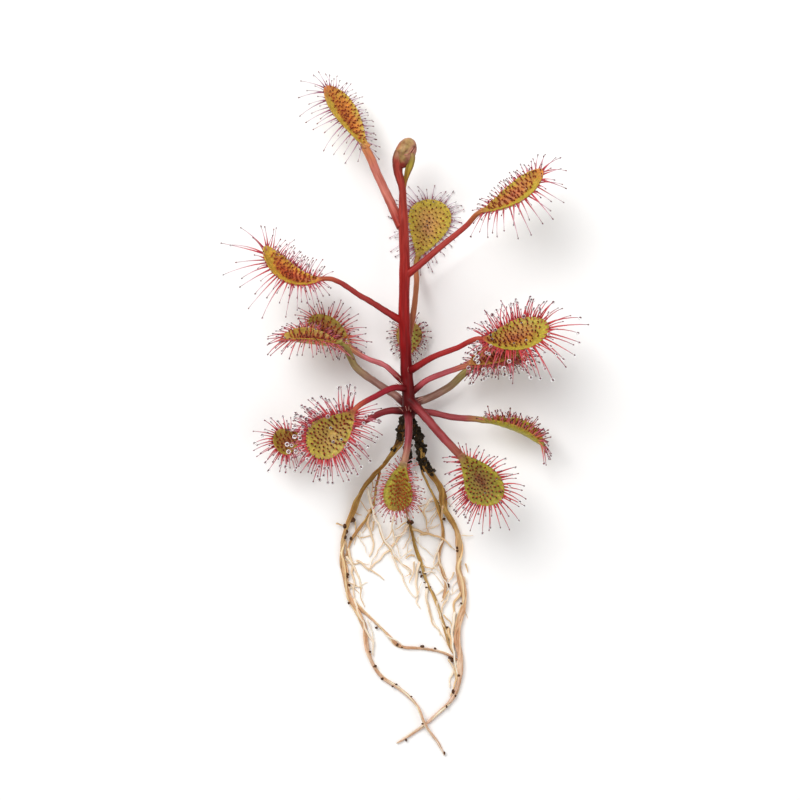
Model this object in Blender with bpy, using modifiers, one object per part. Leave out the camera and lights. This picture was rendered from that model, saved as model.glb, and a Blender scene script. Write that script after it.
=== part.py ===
"""A bare-rooted sundew lying on a flat surface.

The plant is a stem with a hooked young leaf at its tip, fifteen open leaves and a bunch of roots.
Every leaf is a stalk and a cupped blade that carries tentacles, each with a swollen gland at its tip.
Frame: +Z up from the surface at z = 0, +Y up the stem, +X to the right seen from above.
Lengths below are in millimetres, and MM turns them into Blender's metres.
"""

import math
import random

import bmesh
import bpy
from mathutils import Vector
from mathutils.bvhtree import BVHTree
from mathutils.kdtree import KDTree

MM = 0.001

# Gaps and thicknesses
SEAM = 0.3  # between a piece and the piece that carries it
FOOT_GAP = 0.35  # between the stem and a stalk's foot, a little more as the stem is faceted
FOOT_RUN = 0.6  # length over which a stalk leaves the stem straight out
BLADE_THICKNESS = 0.7
BLADE_COLUMNS = 6
BLADE_ROWS = 4
BASE_NARROWING = 0.75  # share of its width that a blade loses towards its stalk

# Tentacles: a slim shaft with a swollen gland
SHAFT_ROOT_RADIUS = 0.21
SHAFT_TIP_RADIUS = 0.13
GLAND_RADIUS = 0.36
GLAND_LENGTH = 0.75
SUNK = 0.3  # depth of a tentacle's foot in its blade
TENTACLE_CLEARANCE = 0.55
NEIGHBOUR_CLEARANCE = 0.85
SAMPLE_STEP = 0.45
SHORTEST_SHAFT = 0.4  # of a tentacle that was shortened, beside its gland
LENGTH_SPREAD = (0.88, 1.08)  # lengths differ by these factors
LEAN_SPREAD = (-10, 12)  # and leans by these degrees
STEEPEST_LEAN = 88

# Rings of tentacles: share of the blade's half size, tentacles in the ring, lean out of the blade in
# degrees, share of the leaf's tentacle length
RINGS = (
    (0.93, 17, 10, 1.0),
    (0.62, 7, 52, 0.5),
    (0.26, 3, 78, 0.36),
)
BARE_BASE_DEGREES = 14  # no tentacle of the outer ring stands this near the stalk
# What is tried in turn until a tentacle is clear of its neighbours: degrees of lean added, share of length
FITS = ((0, 1), (20, 1), (0, 0.7), (45, 0.9), (60, 0.7), (0, 0.5))
LEVELLING = 0.4  # share of its rise that a tentacle's outward lean keeps, as those of the rim spread level

# Roots and tubes
POINT_SPACING = 2.4
YOUNG_SPACING = 1.2
SIDE_ROOT_RADIUS = 0.2
SIDE_ROOT_SPACING = 1.6
SIDE_ROOT_TAPER = (1.3, 0.7)  # share of its radius at its foot and at its end
WELD = 0.01  # caps of a tube are joined to it over this distance
CRUMB_PROPORTIONS = (1.0, 1.3, 0.9)

# The stem: x, y, z and radius up its middle line
STEM_ROUTE = (
    (1.5, -0.8, 6.75, 1.15),
    (1.5, 2.9, 7.1, 1.16),
    (1.2, 6.7, 7.4, 1.13),
    (0.8, 14.2, 8.0, 1.08),
    (0.6, 18.8, 8.3, 1.05),
    (0.7, 29.4, 8.9, 0.98),
    (0.4, 37.1, 9.3, 0.92),
    (0.3, 43.0, 9.6, 0.62),
)

# The youngest leaf: its stalk, the rolled head that bends over to the right, and the strand under it
YOUNG_STALK_ROUTE = (
    (0.25, 43.35, 9.6, 0.6),
    (-0.2, 44.8, 9.8, 0.76),
    (-0.5, 46.1, 10.0, 0.92),
)
YOUNG_HEAD_MIDDLE = (0.75, 49.35, 10.4)
YOUNG_HEAD_HALVES = (1.95, 2.95, 1.55)
YOUNG_HEAD_TILT = -0.42  # radians about Z
YOUNG_STRAND_ROUTE = (
    (1.8, 49.4, 10.6, 0.95),
    (2.05, 48.0, 10.5, 0.9),
    (1.85, 46.4, 10.1, 0.7),
    (1.35, 44.9, 9.9, 0.42),
)

# Leaves, from the tip of the stem down. foot: height on the stem and angle round it, 0 to the right, 90 up.
# stalk: points between the foot and the blade. radii: the stalk's at its foot and at the blade.
# blade: base, middle and tip of the blade's middle line. facing: the way that its dewy side looks.
# tip_narrowing: share of its width that it loses at the tip. cup: height of the rim over the middle.
# reach: shortest and longest tentacle, with the longest ones pointing the long_way.
LEAVES = (
    {
        "name": "leaf_01", "foot": (36.8, 215), "radii": (0.88, 0.8),
        "stalk": ((-1.9, 40.2, 8.0), (-4.4, 45.6, 7.1)),
        "blade": ((-6.7, 50.3, 6.4), (-10.9, 56.9, 6.0), (-15.0, 62.2, 6.4)),
        "half_width": 3.4, "facing": (0.49, 0.35, 0.8), "cup": 0.9,
        "reach": (2.4, 6.2), "long_way": (-0.8, -0.6, 0),
        "tip_narrowing": 0.28,
    },
    {
        "name": "leaf_02", "foot": (27.0, 20), "radii": (0.7, 0.55),
        "stalk": ((7.9, 32.7, 10.2),),
        "blade": ((15.3, 37.5, 11.0), (22.0, 40.8, 12.0), (27.2, 45.6, 12.8)),
        "half_width": 3.2, "facing": (-0.4, 0.55, 0.75), "cup": 1.2,
        "reach": (3.2, 6.2), "long_way": (0.8, 0.4, 0.2),
        "tip_narrowing": 0.2,
    },
    {
        "name": "leaf_03", "foot": (18.2, 170), "radii": (0.7, 0.5),
        "stalk": ((-7.2, 22.3, 9.6),),
        "blade": ((-14.6, 25.0, 10.2), (-21.4, 25.7, 10.8), (-26.4, 31.5, 11.4)),
        "half_width": 3.0, "facing": (0.35, 0.6, 0.72), "cup": 1.2,
        "reach": (2.4, 8.6), "long_way": (-1, -0.2, 0),
        "tip_narrowing": 0.25,
    },
    {
        "name": "leaf_04", "foot": (13.6, 285), "radii": (0.65, 0.5),
        "stalk": ((2.3, 19.0, 5.4), (3.0, 25.0, 2.6)),
        "blade": ((3.2, 30.4, 0.35), (5.2, 36.6, 0.35), (6.3, 41.6, 0.35)),
        "half_width": 4.8, "facing": (0.0, 0.0, 1.0), "cup": 0.0,
        "reach": (2.6, 4.6), "long_way": (-0.9, -0.4, 0),
    },
    {
        "name": "leaf_05", "foot": (8.6, 40), "radii": (0.65, 0.45),
        "stalk": ((6.4, 11.1, 11.8), (10.2, 12.5, 13.0)),
        "blade": ((15.2, 13.7, 14.0), (21.2, 14.0, 14.5), (27.7, 16.6, 14.6)),
        "half_width": 4.2, "facing": (-0.1, 0.6, 0.8), "cup": 1.0,
        "reach": (3.6, 7.4), "long_way": (0.9, -0.4, 0),
    },
    {
        "name": "leaf_06", "foot": (6.6, 195), "radii": (0.5, 0.5),
        "stalk": ((-2.9, 9.3, 7.4), (-6.8, 10.95, 5.8)),
        "blade": ((-10.4, 12.3, 4.0), (-13.8, 15.6, 3.5), (-18.0, 17.2, 3.7)),
        "half_width": 2.9, "facing": (0.3, 0.6, 0.75), "cup": 1.2,
        "reach": (2.6, 4.6), "long_way": (1, 0.6, 0),
    },
    {
        "name": "leaf_07", "foot": (6.2, 262), "radii": (0.5, 0.42),
        "stalk": ((1.1, 8.2, 3.6),),
        "blade": ((1.3, 11.0, 2.0), (1.5, 14.5, 1.5), (1.8, 18.0, 1.7)),
        "half_width": 2.85, "facing": (0.0, 0.1, 1.0), "cup": 0.3,
        "reach": (1.5, 2.1), "long_way": (0, 1, 0),
    },
    {
        "name": "leaf_08", "foot": (5.1, 130), "radii": (0.6, 0.5),
        "stalk": ((-1.6, 5.1, 10.6), (-4.7, 3.6, 12.2)),
        "blade": ((-8.6, 1.1, 13.3), (-13.1, -3.6, 13.6), (-17.6, -6.1, 14.0)),
        "half_width": 4.4, "facing": (0.05, 0.12, 1.0), "cup": 0.7,
        "reach": (3.4, 6.0), "long_way": (0.9, 0.3, 0),
    },
    {
        "name": "leaf_09", "foot": (4.7, 355), "radii": (0.55, 0.55),
        "stalk": ((4.6, 6.4, 7.5), (8.3, 8.0, 8.2)),
        "blade": ((13.0, 8.9, 8.4), (17.8, 11.0, 8.8), (23.3, 12.6, 9.2)),
        "half_width": 3.2, "facing": (-0.1, 0.6, 0.75), "cup": 1.0,
        "reach": (2.2, 3.2), "long_way": (1, 0, 0),
    },
    {
        "name": "leaf_10", "foot": (2.2, 225), "radii": (0.7, 0.7),
        "stalk": ((-0.9, 3.6, 5.2), (-4.2, 5.8, 5.4), (-8.4, 8.9, 7.0)),
        "blade": ((-12.0, 12.2, 9.2), (-17.0, 13.9, 9.9), (-21.8, 13.6, 10.0)),
        "half_width": 3.0, "facing": (0.05, 0.9, 0.42), "cup": 1.2,
        "reach": (2.8, 4.4), "long_way": (-0.6, -0.6, 0),
    },
    {
        "name": "leaf_11", "foot": (2.4, 320), "radii": (0.75, 0.7),
        "stalk": ((4.4, 2.9, 5.0), (9.0, 5.2, 4.3)),
        "blade": ((14.0, 7.9, 3.9), (19.1, 9.5, 3.7), (24.3, 10.2, 3.9)),
        "half_width": 3.0, "facing": (0.0, 0.9, 0.4), "cup": 1.0,
        "reach": (2.2, 3.4), "long_way": (0, -1, 0),
    },
    {
        "name": "leaf_12", "foot": (2.3, 52), "radii": (0.85, 0.76),
        "stalk": ((4.4, -0.1, 10.1), (7.5, -3.7, 11.6)),
        "blade": ((10.9, -7.3, 12.2), (15.0, -12.4, 12.4), (16.7, -16.9, 12.0)),
        "half_width": 4.2, "facing": (-0.1, 0.1, 1.0), "cup": 0.7,
        "reach": (3.6, 5.6), "long_way": (0.3, -1, 0),
    },
    {
        "name": "leaf_13", "foot": (0.8, 180), "radii": (0.65, 0.5),
        "stalk": ((-2.1, 0.8, 6.4), (-8.2, -1.7, 5.6), (-14.0, -3.3, 4.9)),
        "blade": ((-18.5, -4.4, 4.6), (-21.6, -5.2, 4.4), (-24.4, -6.2, 5.0)),
        "half_width": 3.0, "facing": (0.2, 0.3, 0.9), "cup": 0.9,
        "reach": (2.2, 3.2), "long_way": (-1, -0.5, 0),
    },
    {
        "name": "leaf_14", "foot": (0.8, 338), "radii": (0.6, 0.6),
        "stalk": ((5.5, 0.5, 6.4), (9.7, -0.4, 6.7)),
        "blade": ((15.6, -1.9, 6.4), (22.3, -2.9, 6.6), (26.4, -6.4, 5.6)),
        "half_width": 2.9, "facing": (0.3, 0.88, 0.34), "cup": 1.0,
        "reach": (2.4, 3.8), "long_way": (0.8, -0.4, 0),
    },
    {
        "name": "leaf_15", "foot": (0.0, 92), "radii": (0.75, 0.7),
        "stalk": ((1.5, -2.0, 10.6), (1.4, -4.7, 11.3)),
        "blade": ((0.7, -8.6, 11.4), (-0.5, -13.8, 11.0), (-0.3, -17.9, 10.2)),
        "half_width": 3.2, "facing": (0.0, 0.15, 1.0), "cup": 0.6,
        "reach": (1.8, 2.8), "long_way": (0, -1, 0),
    },
)

# Main roots: x, y, z and radius, from the crown down to where they lie on the surface.
# side_roots: x, y and z from the main root outwards. crumbs: x, y, z and radius of clinging soil.
ROOTS = (
    {
        "name": "root_left",
        "route": (
            (0.7, -1.2, 6.6, 0.42), (0.4, -2.2, 6.1, 0.45), (0.0, -4.8, 5.0, 0.5), (-1.7, -7.1, 4.3, 0.46),
            (-3.3, -8.9, 3.6, 0.46), (-5.2, -11.4, 2.8, 0.46), (-9.0, -17.8, 1.2, 0.46),
            (-10.9, -23.6, 0.6, 0.46),
            (-11.0, -29.6, 0.5, 0.45), (-10.1, -34.9, 0.5, 0.45), (-7.3, -40.5, 0.5, 0.42),
            (-6.2, -47.1, 0.5, 0.4),
            (-3.4, -50.9, 0.5, 0.38), (1.3, -54.2, 0.6, 0.36), (4.6, -59.1, 1.4, 0.34),
            (6.5, -62.5, 0.7, 0.3),
            (8.4, -66.0, 0.3, 0.22),
        ),
        "side_roots": (
            ((-6.4, -14.0, 2.3), (-5.3, -18.4, 2.2), (-2.3, -25.4, 1.3),
             (-0.1, -28.4, 0.6), (1.9, -31.0, 0.3)),
            ((-10.8, -27.5, 0.5), (-8.4, -30.8, 0.3), (-7.6, -33.8, 0.3)),
        ),
        "crumbs": ((0.4, -2.9, 6.0, 0.6), (-0.2, -4.4, 5.5, 0.65), (-1.4, -6.5, 4.7, 0.55)),
    },
    {
        "name": "root_left_strand",
        "route": (
            (-4.6, -12.6, 2.1, 0.26), (-5.2, -16.3, 1.4, 0.28), (-8.0, -22.0, 0.6, 0.28),
            (-9.9, -25.4, 0.4, 0.25),
        ),
        "side_roots": (
            ((-6.1, -18.0, 1.2), (-6.3, -21.5, 0.5), (-5.4, -25.4, 0.3), (-6.0, -27.6, 0.3)),
        ),
        "crumbs": (),
    },
    {
        "name": "root_link",
        "route": (
            (-8.3, -37.0, 0.4, 0.28), (-6.3, -38.9, 0.4, 0.3), (-2.6, -42.6, 0.4, 0.3),
            (0.0, -44.8, 0.4, 0.3),
            (4.1, -45.2, 0.4, 0.3), (7.6, -45.9, 0.4, 0.28), (10.0, -46.9, 0.4, 0.25),
        ),
        "side_roots": (),
        "crumbs": (),
    },
    {
        "name": "root_right",
        "route": (
            (2.3, -1.2, 6.6, 0.42), (2.8, -2.2, 6.1, 0.5), (3.7, -4.6, 5.2, 0.58), (3.9, -7.1, 4.5, 0.6),
            (4.4, -9.3, 3.8, 0.58), (6.9, -13.1, 2.5, 0.58), (8.7, -18.4, 1.3, 0.58),
            (11.1, -23.4, 0.8, 0.58),
            (11.2, -29.4, 0.65, 0.58), (12.2, -36.4, 0.65, 0.56), (10.9, -42.6, 0.6, 0.54),
            (11.5, -48.8, 0.55, 0.5),
            (10.3, -54.2, 0.5, 0.44), (6.2, -58.7, 0.4, 0.34), (1.7, -62.1, 0.35, 0.28),
            (-0.8, -63.6, 0.3, 0.22),
        ),
        "side_roots": (
            ((11.9, -34.2, 0.6), (10.3, -37.0, 0.3), (10.1, -39.6, 0.3)),
            ((11.3, -47.6, 0.6), (9.7, -50.2, 0.3), (9.2, -52.8, 0.3)),
        ),
        "crumbs": (
            (3.0, -3.2, 6.1, 0.6), (3.3, -4.8, 5.7, 0.7), (4.2, -6.0, 5.2, 0.7), (3.4, -7.3, 4.8, 0.75),
            (4.5, -8.4, 4.5, 0.7), (4.3, -10.0, 3.6, 0.6),
        ),
    },
    {
        "name": "root_right_strand",
        "route": (
            (3.9, -10.6, 2.2, 0.28), (4.8, -12.8, 1.7, 0.3), (7.1, -17.8, 1.0, 0.32),
            (8.3, -23.3, 0.4, 0.32),
            (7.3, -27.3, 0.4, 0.32), (9.0, -33.4, 0.4, 0.3), (8.3, -35.6, 0.4, 0.28),
        ),
        "side_roots": (
            ((6.3, -15.8, 1.3), (4.5, -19.2, 0.5), (5.1, -21.4, 0.3)),
        ),
        "crumbs": (),
    },
    {
        "name": "root_centre",
        "route": (
            (1.5, -1.2, 5.85, 0.34), (1.5, -2.2, 5.3, 0.36), (1.3, -5.8, 3.6, 0.38),
            (1.2, -12.6, 2.0, 0.36),
            (1.2, -18.4, 1.0, 0.34), (2.5, -24.6, 0.5, 0.34), (4.3, -30.4, 0.4, 0.32),
            (7.0, -36.8, 0.4, 0.32),
            (8.6, -42.2, 0.4, 0.3), (9.8, -45.6, 0.4, 0.24),
        ),
        "side_roots": (
            ((1.7, -21.0, 0.6), (-0.8, -24.6, 0.3), (-3.6, -27.4, 0.3), (-6.4, -30.0, 0.3)),
            ((1.9, -22.0, 0.6), (5.0, -23.0, 0.9), (8.2, -24.2, 1.3), (9.7, -25.7, 0.9)),
            ((5.0, -32.4, 0.4), (5.4, -37.6, 0.3), (6.7, -40.6, 0.3), (7.4, -42.6, 0.3)),
            ((3.6, -28.4, 0.4), (2.9, -34.2, 0.3), (3.6, -37.6, 0.3)),
        ),
        "crumbs": ((1.2, -6.4, 3.7, 0.55), (1.5, -11.4, 2.4, 0.5), (2.2, -20.8, 0.8, 0.5)),
    },
)

# Colours as sRGB hex, with roughness
FINISHES = {
    "stem": ("#9C1F29", 0.45),
    "stalk": ("#B03A44", 0.45),
    "olive_stalk": ("#8E8552", 0.5),
    "blade": ("#B59A3A", 0.4),
    "young_leaf": ("#9A7A3C", 0.45),
    "root": ("#C49A62", 0.7),
}
OLIVE_STALKS = ("leaf_10", "leaf_11")


def clear_scene():
    for obj in list(bpy.data.objects):
        bpy.data.objects.remove(obj)


def new_collection(name):
    collection = bpy.data.collections.new(name)
    bpy.context.scene.collection.children.link(collection)
    return collection


def linear(channel):
    """An sRGB channel from 0 to 1 as linear light."""
    if channel <= 0.04045:
        return channel / 12.92
    return ((channel + 0.055) / 1.055) ** 2.4


def material(name):
    """The Principled material of one finish, made the first time that it is asked for."""
    if name in bpy.data.materials:
        return bpy.data.materials[name]
    code, roughness = FINISHES[name]
    made = bpy.data.materials.new(name)
    made.use_nodes = True
    shader = made.node_tree.nodes["Principled BSDF"]
    red, green, blue = (linear(int(code[i:i + 2], 16) / 255) for i in (1, 3, 5))
    shader.inputs["Base Color"].default_value = (red, green, blue, 1.0)
    shader.inputs["Roughness"].default_value = roughness
    shader.inputs["Metallic"].default_value = 0.0
    return made


def smooth_route(route, spacing):
    """Points about `spacing` apart on a Catmull-Rom curve through the route, lifted clear of the surface."""
    knots = [Vector(point) for point in route]
    knots = [knots[0] * 2 - knots[1], *knots, knots[-1] * 2 - knots[-2]]
    points = []
    for before, start, end, after in zip(knots, knots[1:], knots[2:], knots[3:]):
        steps = max(1, round((end.xyz - start.xyz).length / spacing))
        for step in range(steps):
            t = step / steps
            bend = (before * 2 - start * 5 + end * 4 - after) / 2
            twist = (start * 3 - before - end * 3 + after) / 2
            points.append(start + (end - before) / 2 * t + bend * t ** 2 + twist * t ** 3)
    points.append(knots[-2])
    for point in points:
        point.z = max(point.z, point.w)
    return points


def mesh_object(name, mesh, collection, finish=None):
    obj = bpy.data.objects.new(name, mesh)
    collection.objects.link(obj)
    if finish:
        mesh.materials.clear()
        mesh.materials.append(material(finish))
    return obj


def tube(name, points, collection, finish, bevel_resolution=1):
    """A round curve along points of x, y, z and radius, with filled caps, made a mesh and welded."""
    curve = bpy.data.curves.new(name, "CURVE")
    curve.dimensions = "3D"
    curve.bevel_depth = MM
    curve.bevel_resolution = bevel_resolution
    curve.use_fill_caps = True
    spline = curve.splines.new("POLY")
    spline.points.add(len(points) - 1)
    for place, point in zip(spline.points, points):
        place.co = (*(point.xyz * MM), 1)
        place.radius = point.w
    guide = bpy.data.objects.new(name + "_curve", curve)
    collection.objects.link(guide)
    graph = bpy.context.evaluated_depsgraph_get()
    mesh = bpy.data.meshes.new_from_object(guide.evaluated_get(graph))
    bpy.data.objects.remove(guide)
    bm = bmesh.new()
    bm.from_mesh(mesh)
    bmesh.ops.remove_doubles(bm, verts=bm.verts, dist=WELD * MM)
    bmesh.ops.recalc_face_normals(bm, faces=bm.faces)
    bm.to_mesh(mesh)
    bm.free()
    mesh.shade_smooth()
    return mesh_object(name, mesh, collection, finish)


def ball(name, collection, finish, subdivisions=1):
    """An icosphere one unit in radius, to be scaled to its size."""
    bm = bmesh.new()
    bmesh.ops.create_icosphere(bm, subdivisions=subdivisions, radius=1)
    mesh = bpy.data.meshes.new(name)
    bm.to_mesh(mesh)
    bm.free()
    return mesh_object(name, mesh, collection, finish)


def make_young_leaf(collection):
    """The youngest leaf's stalk, and its rolled head with the strand fused to it."""
    tube("young_leaf_stalk", smooth_route(YOUNG_STALK_ROUTE, YOUNG_SPACING), collection, "stalk")
    head = ball("young_leaf_blade", collection, "young_leaf", subdivisions=2)
    head.location = Vector(YOUNG_HEAD_MIDDLE) * MM
    head.rotation_euler = (0, 0, YOUNG_HEAD_TILT)
    head.scale = Vector(YOUNG_HEAD_HALVES) * MM
    extras = new_collection("young_leaf_extras")
    tube("young_leaf_strand", smooth_route(YOUNG_STRAND_ROUTE, YOUNG_SPACING), extras, None)
    fuse(head, extras)


def stem_at(height):
    """The middle and the radius of the stem at a height up it."""
    for low, high in zip(STEM_ROUTE, STEM_ROUTE[1:]):
        if low[1] <= height <= high[1]:
            share = (height - low[1]) / (high[1] - low[1])
            found = Vector(low).lerp(Vector(high), share)
            return found.xyz, found.w
    raise ValueError("no stem at that height")


def blade_point(leaf, x, y):
    """A point of a blade and its directions: out along the blade, sideways, and the way that it faces.

    x runs from -1 at the stalk to 1 at the tip, and y from -1 to 1 across, over a round disc. The disc is
    laid along the blade's middle line, narrowed towards the stalk and, on some leaves, the tip, and its
    rim is raised by the cup.
    """
    base, middle, tip = (Vector(point) for point in leaf["blade"])
    bend = middle * 2 - (base + tip) / 2
    t = (x + 1) / 2
    centre = base * (1 - t) ** 2 + bend * 2 * t * (1 - t) + tip * t ** 2
    along = ((bend - base) * (1 - t) + (tip - bend) * t).normalized()
    side = Vector(leaf["facing"]).cross(along).normalized()
    facing = along.cross(side)
    width = leaf["half_width"] * (1 - BASE_NARROWING * (1 - t) ** 2 - leaf.get("tip_narrowing", 0) * t ** 4)
    return centre + side * (width * y) + facing * (leaf["cup"] * (x * x + y * y)), along, side, facing


def make_blade(leaf, collection):
    """A grid squeezed to a disc and laid out as the blade, split alike on both faces, then thickened."""
    bm = bmesh.new()
    bmesh.ops.create_grid(bm, x_segments=BLADE_COLUMNS, y_segments=BLADE_ROWS, size=1)
    for vertex in bm.verts:
        u, v = vertex.co.x, vertex.co.y
        x = u * math.sqrt(1 - v * v / 2)
        y = v * math.sqrt(1 - u * u / 2)
        vertex.co = blade_point(leaf, x, y)[0] * MM
    bmesh.ops.triangulate(bm, faces=bm.faces)
    mesh = bpy.data.meshes.new(leaf["name"] + "_blade")
    bm.to_mesh(mesh)
    bm.free()
    blade = mesh_object(leaf["name"] + "_blade", mesh, collection, "blade")
    thickness = blade.modifiers.new("thickness", "SOLIDIFY")
    thickness.thickness = BLADE_THICKNESS * MM
    thickness.offset = 0
    return blade


def make_stalk(leaf, collection):
    """The stalk leaves the stem straight out, bends to its route and ends just short of the blade."""
    height, angle = leaf["foot"]
    middle, stem_radius = stem_at(height)
    out = Vector((math.cos(math.radians(angle)), 0, math.sin(math.radians(angle))))
    foot_radius, end_radius = leaf["radii"]
    foot = middle + out * (stem_radius + FOOT_GAP)
    base, blade_middle, _ = (Vector(point) for point in leaf["blade"])
    end = base - (blade_middle - base).normalized() * SEAM
    places = [foot + out * FOOT_RUN, *(Vector(point) for point in leaf["stalk"]), end]
    route = []
    for index, place in enumerate(places):
        share = index / (len(places) - 1)
        route.append((*place, foot_radius + (end_radius - foot_radius) * share))
    points = [Vector((*foot, foot_radius)), *smooth_route(route, POINT_SPACING)]
    stalk_finish = "olive_stalk" if leaf["name"] in OLIVE_STALKS else "stalk"
    return tube(leaf["name"] + "_stalk", points, collection, stalk_finish)


def solid_tree(obj):
    """A search tree over an object's evaluated faces, in metres, where they stand."""
    graph = bpy.context.evaluated_depsgraph_get()
    bm = bmesh.new()
    bm.from_object(obj, graph)
    bm.transform(obj.matrix_world)
    tree = BVHTree.FromBMesh(bm)
    bm.free()
    return tree


def samples(start, end):
    """Points a step apart from start to end, without the sunk foot."""
    count = max(2, round((end - start).length / SAMPLE_STEP))
    return [start.lerp(end, (step + 1) / count) for step in range(count)]


def is_clear(points, trees, grown):
    """Whether points keep off the surface, off the solids in trees and off the tentacles already grown."""
    for point in points:
        if point.z < GLAND_RADIUS:
            return False
        for tree in trees:
            if tree.find_nearest(point * MM, TENTACLE_CLEARANCE * MM)[0]:
                return False
        for others in grown:
            if others.find(point)[2] < NEIGHBOUR_CLEARANCE:
                return False
    return True


def tentacle(name, foot, direction, length, collection):
    """A three-sided shaft, whose top face is drawn out to the gland and closed to a small tip."""
    bm = bmesh.new()
    shaft = length - GLAND_LENGTH + SUNK
    made = bmesh.ops.create_cone(
        bm, cap_ends=True, segments=3,
        radius1=SHAFT_ROOT_RADIUS * MM, radius2=SHAFT_TIP_RADIUS * MM, depth=shaft * MM,
    )
    bmesh.ops.translate(bm, verts=made["verts"], vec=(0, 0, (shaft / 2 - SUNK) * MM))
    top = max(bm.faces, key=lambda face: face.calc_center_median().z)
    for radius in (GLAND_RADIUS, 0):
        drawn = bmesh.ops.extrude_face_region(bm, geom=[top])
        bmesh.ops.delete(bm, geom=[top], context="FACES_ONLY")
        top = next(item for item in drawn["geom"] if isinstance(item, bmesh.types.BMFace))
        middle = top.calc_center_median()
        for vertex in top.verts:
            spoke = (vertex.co - middle).normalized()
            vertex.co = middle + spoke * radius * MM + Vector((0, 0, GLAND_LENGTH / 2 * MM))
    bmesh.ops.pointmerge(bm, verts=top.verts, merge_co=middle + Vector((0, 0, GLAND_LENGTH / 2 * MM)))
    mesh = bpy.data.meshes.new(name)
    bm.to_mesh(mesh)
    bm.free()
    obj = mesh_object(name, mesh, collection)
    obj.location = foot * MM
    obj.rotation_mode = "QUATERNION"
    obj.rotation_quaternion = direction.to_track_quat("Z", "X")
    obj.hide_render = True
    obj.display_type = "WIRE"
    return obj


def fuse(obj, extras):
    """Joins the objects of a collection to obj with one applied Boolean union, and removes them."""
    union = obj.modifiers.new("union", "BOOLEAN")
    union.operation = "UNION"
    union.operand_type = "COLLECTION"
    union.collection = extras
    union.solver = "MANIFOLD"
    graph = bpy.context.evaluated_depsgraph_get()
    mesh = bpy.data.meshes.new_from_object(obj.evaluated_get(graph))
    obj.modifiers.clear()
    obj.data = mesh
    for extra in list(extras.objects):
        bpy.data.objects.remove(extra)
    bpy.data.collections.remove(extras)


def grow_tentacles(leaf, blade, trees, grown):
    """Rings of tentacles over the dewy side. One that would touch a neighbour leans more, or is shorter."""
    draw = random.Random(leaf["name"])
    extras = new_collection(leaf["name"] + "_tentacles")
    shortest, longest = leaf["reach"]
    long_way = Vector(leaf["long_way"]).normalized()
    _, along, side, _ = blade_point(leaf, 0, 0)
    own = []
    for share, count, lean, part in RINGS:
        for index in range(count):
            turn = (index + 0.5) / count * math.tau - math.pi
            if share == RINGS[0][0] and math.pi - abs(turn) < math.radians(BARE_BASE_DEGREES):
                continue
            x, y = math.cos(turn) * share, math.sin(turn) * share
            foot, _, _, facing = blade_point(leaf, x, y)
            outward = along * math.cos(turn) + side * math.sin(turn)
            outward.z *= LEVELLING
            outward.normalize()
            favour = (1 + outward.dot(long_way)) / 2
            length = part * (shortest + (longest - shortest) * favour) * draw.uniform(*LENGTH_SPREAD)
            tilt = lean + draw.uniform(*LEAN_SPREAD)
            for more, shorter in FITS:
                angle = math.radians(min(tilt + more, STEEPEST_LEAN))
                direction = (outward * math.cos(angle) + facing * math.sin(angle)).normalized()
                reach = max(length * shorter, GLAND_LENGTH + SHORTEST_SHAFT)
                path = samples(foot, foot + direction * reach)
                if is_clear(path, trees, grown):
                    tentacle(f"{leaf['name']}_tentacle_{len(own)}", foot, direction, reach, extras)
                    own.append(path)
                    break
    fuse(blade, extras)
    tree = KDTree(sum(len(path) for path in own))
    for index, point in enumerate(point for path in own for point in path):
        tree.insert(point, index)
    tree.balance()
    grown.append(tree)


def make_root(root, collection):
    """A main root with its side roots and its crumbs of soil fused to it."""
    main = tube(root["name"], smooth_route(root["route"], POINT_SPACING), collection, "root")
    extras = new_collection(root["name"] + "_extras")
    wide, narrow = SIDE_ROOT_TAPER
    for index, route in enumerate(root["side_roots"]):
        tapered = []
        for place_index, place in enumerate(route):
            share = place_index / (len(route) - 1)
            tapered.append((*place, SIDE_ROOT_RADIUS * (wide + (narrow - wide) * share)))
        points = smooth_route(tapered, SIDE_ROOT_SPACING)
        side_root = tube(f"{root['name']}_side_{index}", points, extras, None, bevel_resolution=0)
        side_root.hide_render = True
        side_root.display_type = "WIRE"
    for index, (x, y, z, radius) in enumerate(root["crumbs"]):
        crumb = ball(f"{root['name']}_crumb_{index}", extras, None)
        crumb.location = Vector((x, y, z)) * MM
        crumb.rotation_euler = (index, index * 2, 0)
        crumb.scale = Vector(CRUMB_PROPORTIONS) * radius * MM
    if extras.objects:
        fuse(main, extras)


def build():
    clear_scene()
    plant = new_collection("bare_root_sundew")
    tube("stem", smooth_route(STEM_ROUTE, POINT_SPACING), plant, "stem", bevel_resolution=3)
    make_young_leaf(plant)
    for root in ROOTS:
        make_root(root, plant)
    for leaf in LEAVES:
        make_stalk(leaf, plant)
    blades = [make_blade(leaf, plant) for leaf in LEAVES]
    trees = {obj.name: solid_tree(obj) for obj in plant.objects}
    grown = []
    for leaf, blade in zip(LEAVES, blades):
        others = [tree for name, tree in trees.items() if name != blade.name]
        grow_tentacles(leaf, blade, others, grown)


build()
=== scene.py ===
"""A bare-rooted sundew lying on a pale surface, seen from straight above.

The sections follow the plant as it is put together: the surface and its light, the stem, the leaf stalks,
the blades, their tentacles, the dew, the youngest leaf, the fringes at the crown, the roots and the soil.
Lengths in tables are millimetres, and MM makes them metres. +Y runs up the stem, +Z away from the surface.
"""

import math

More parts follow.
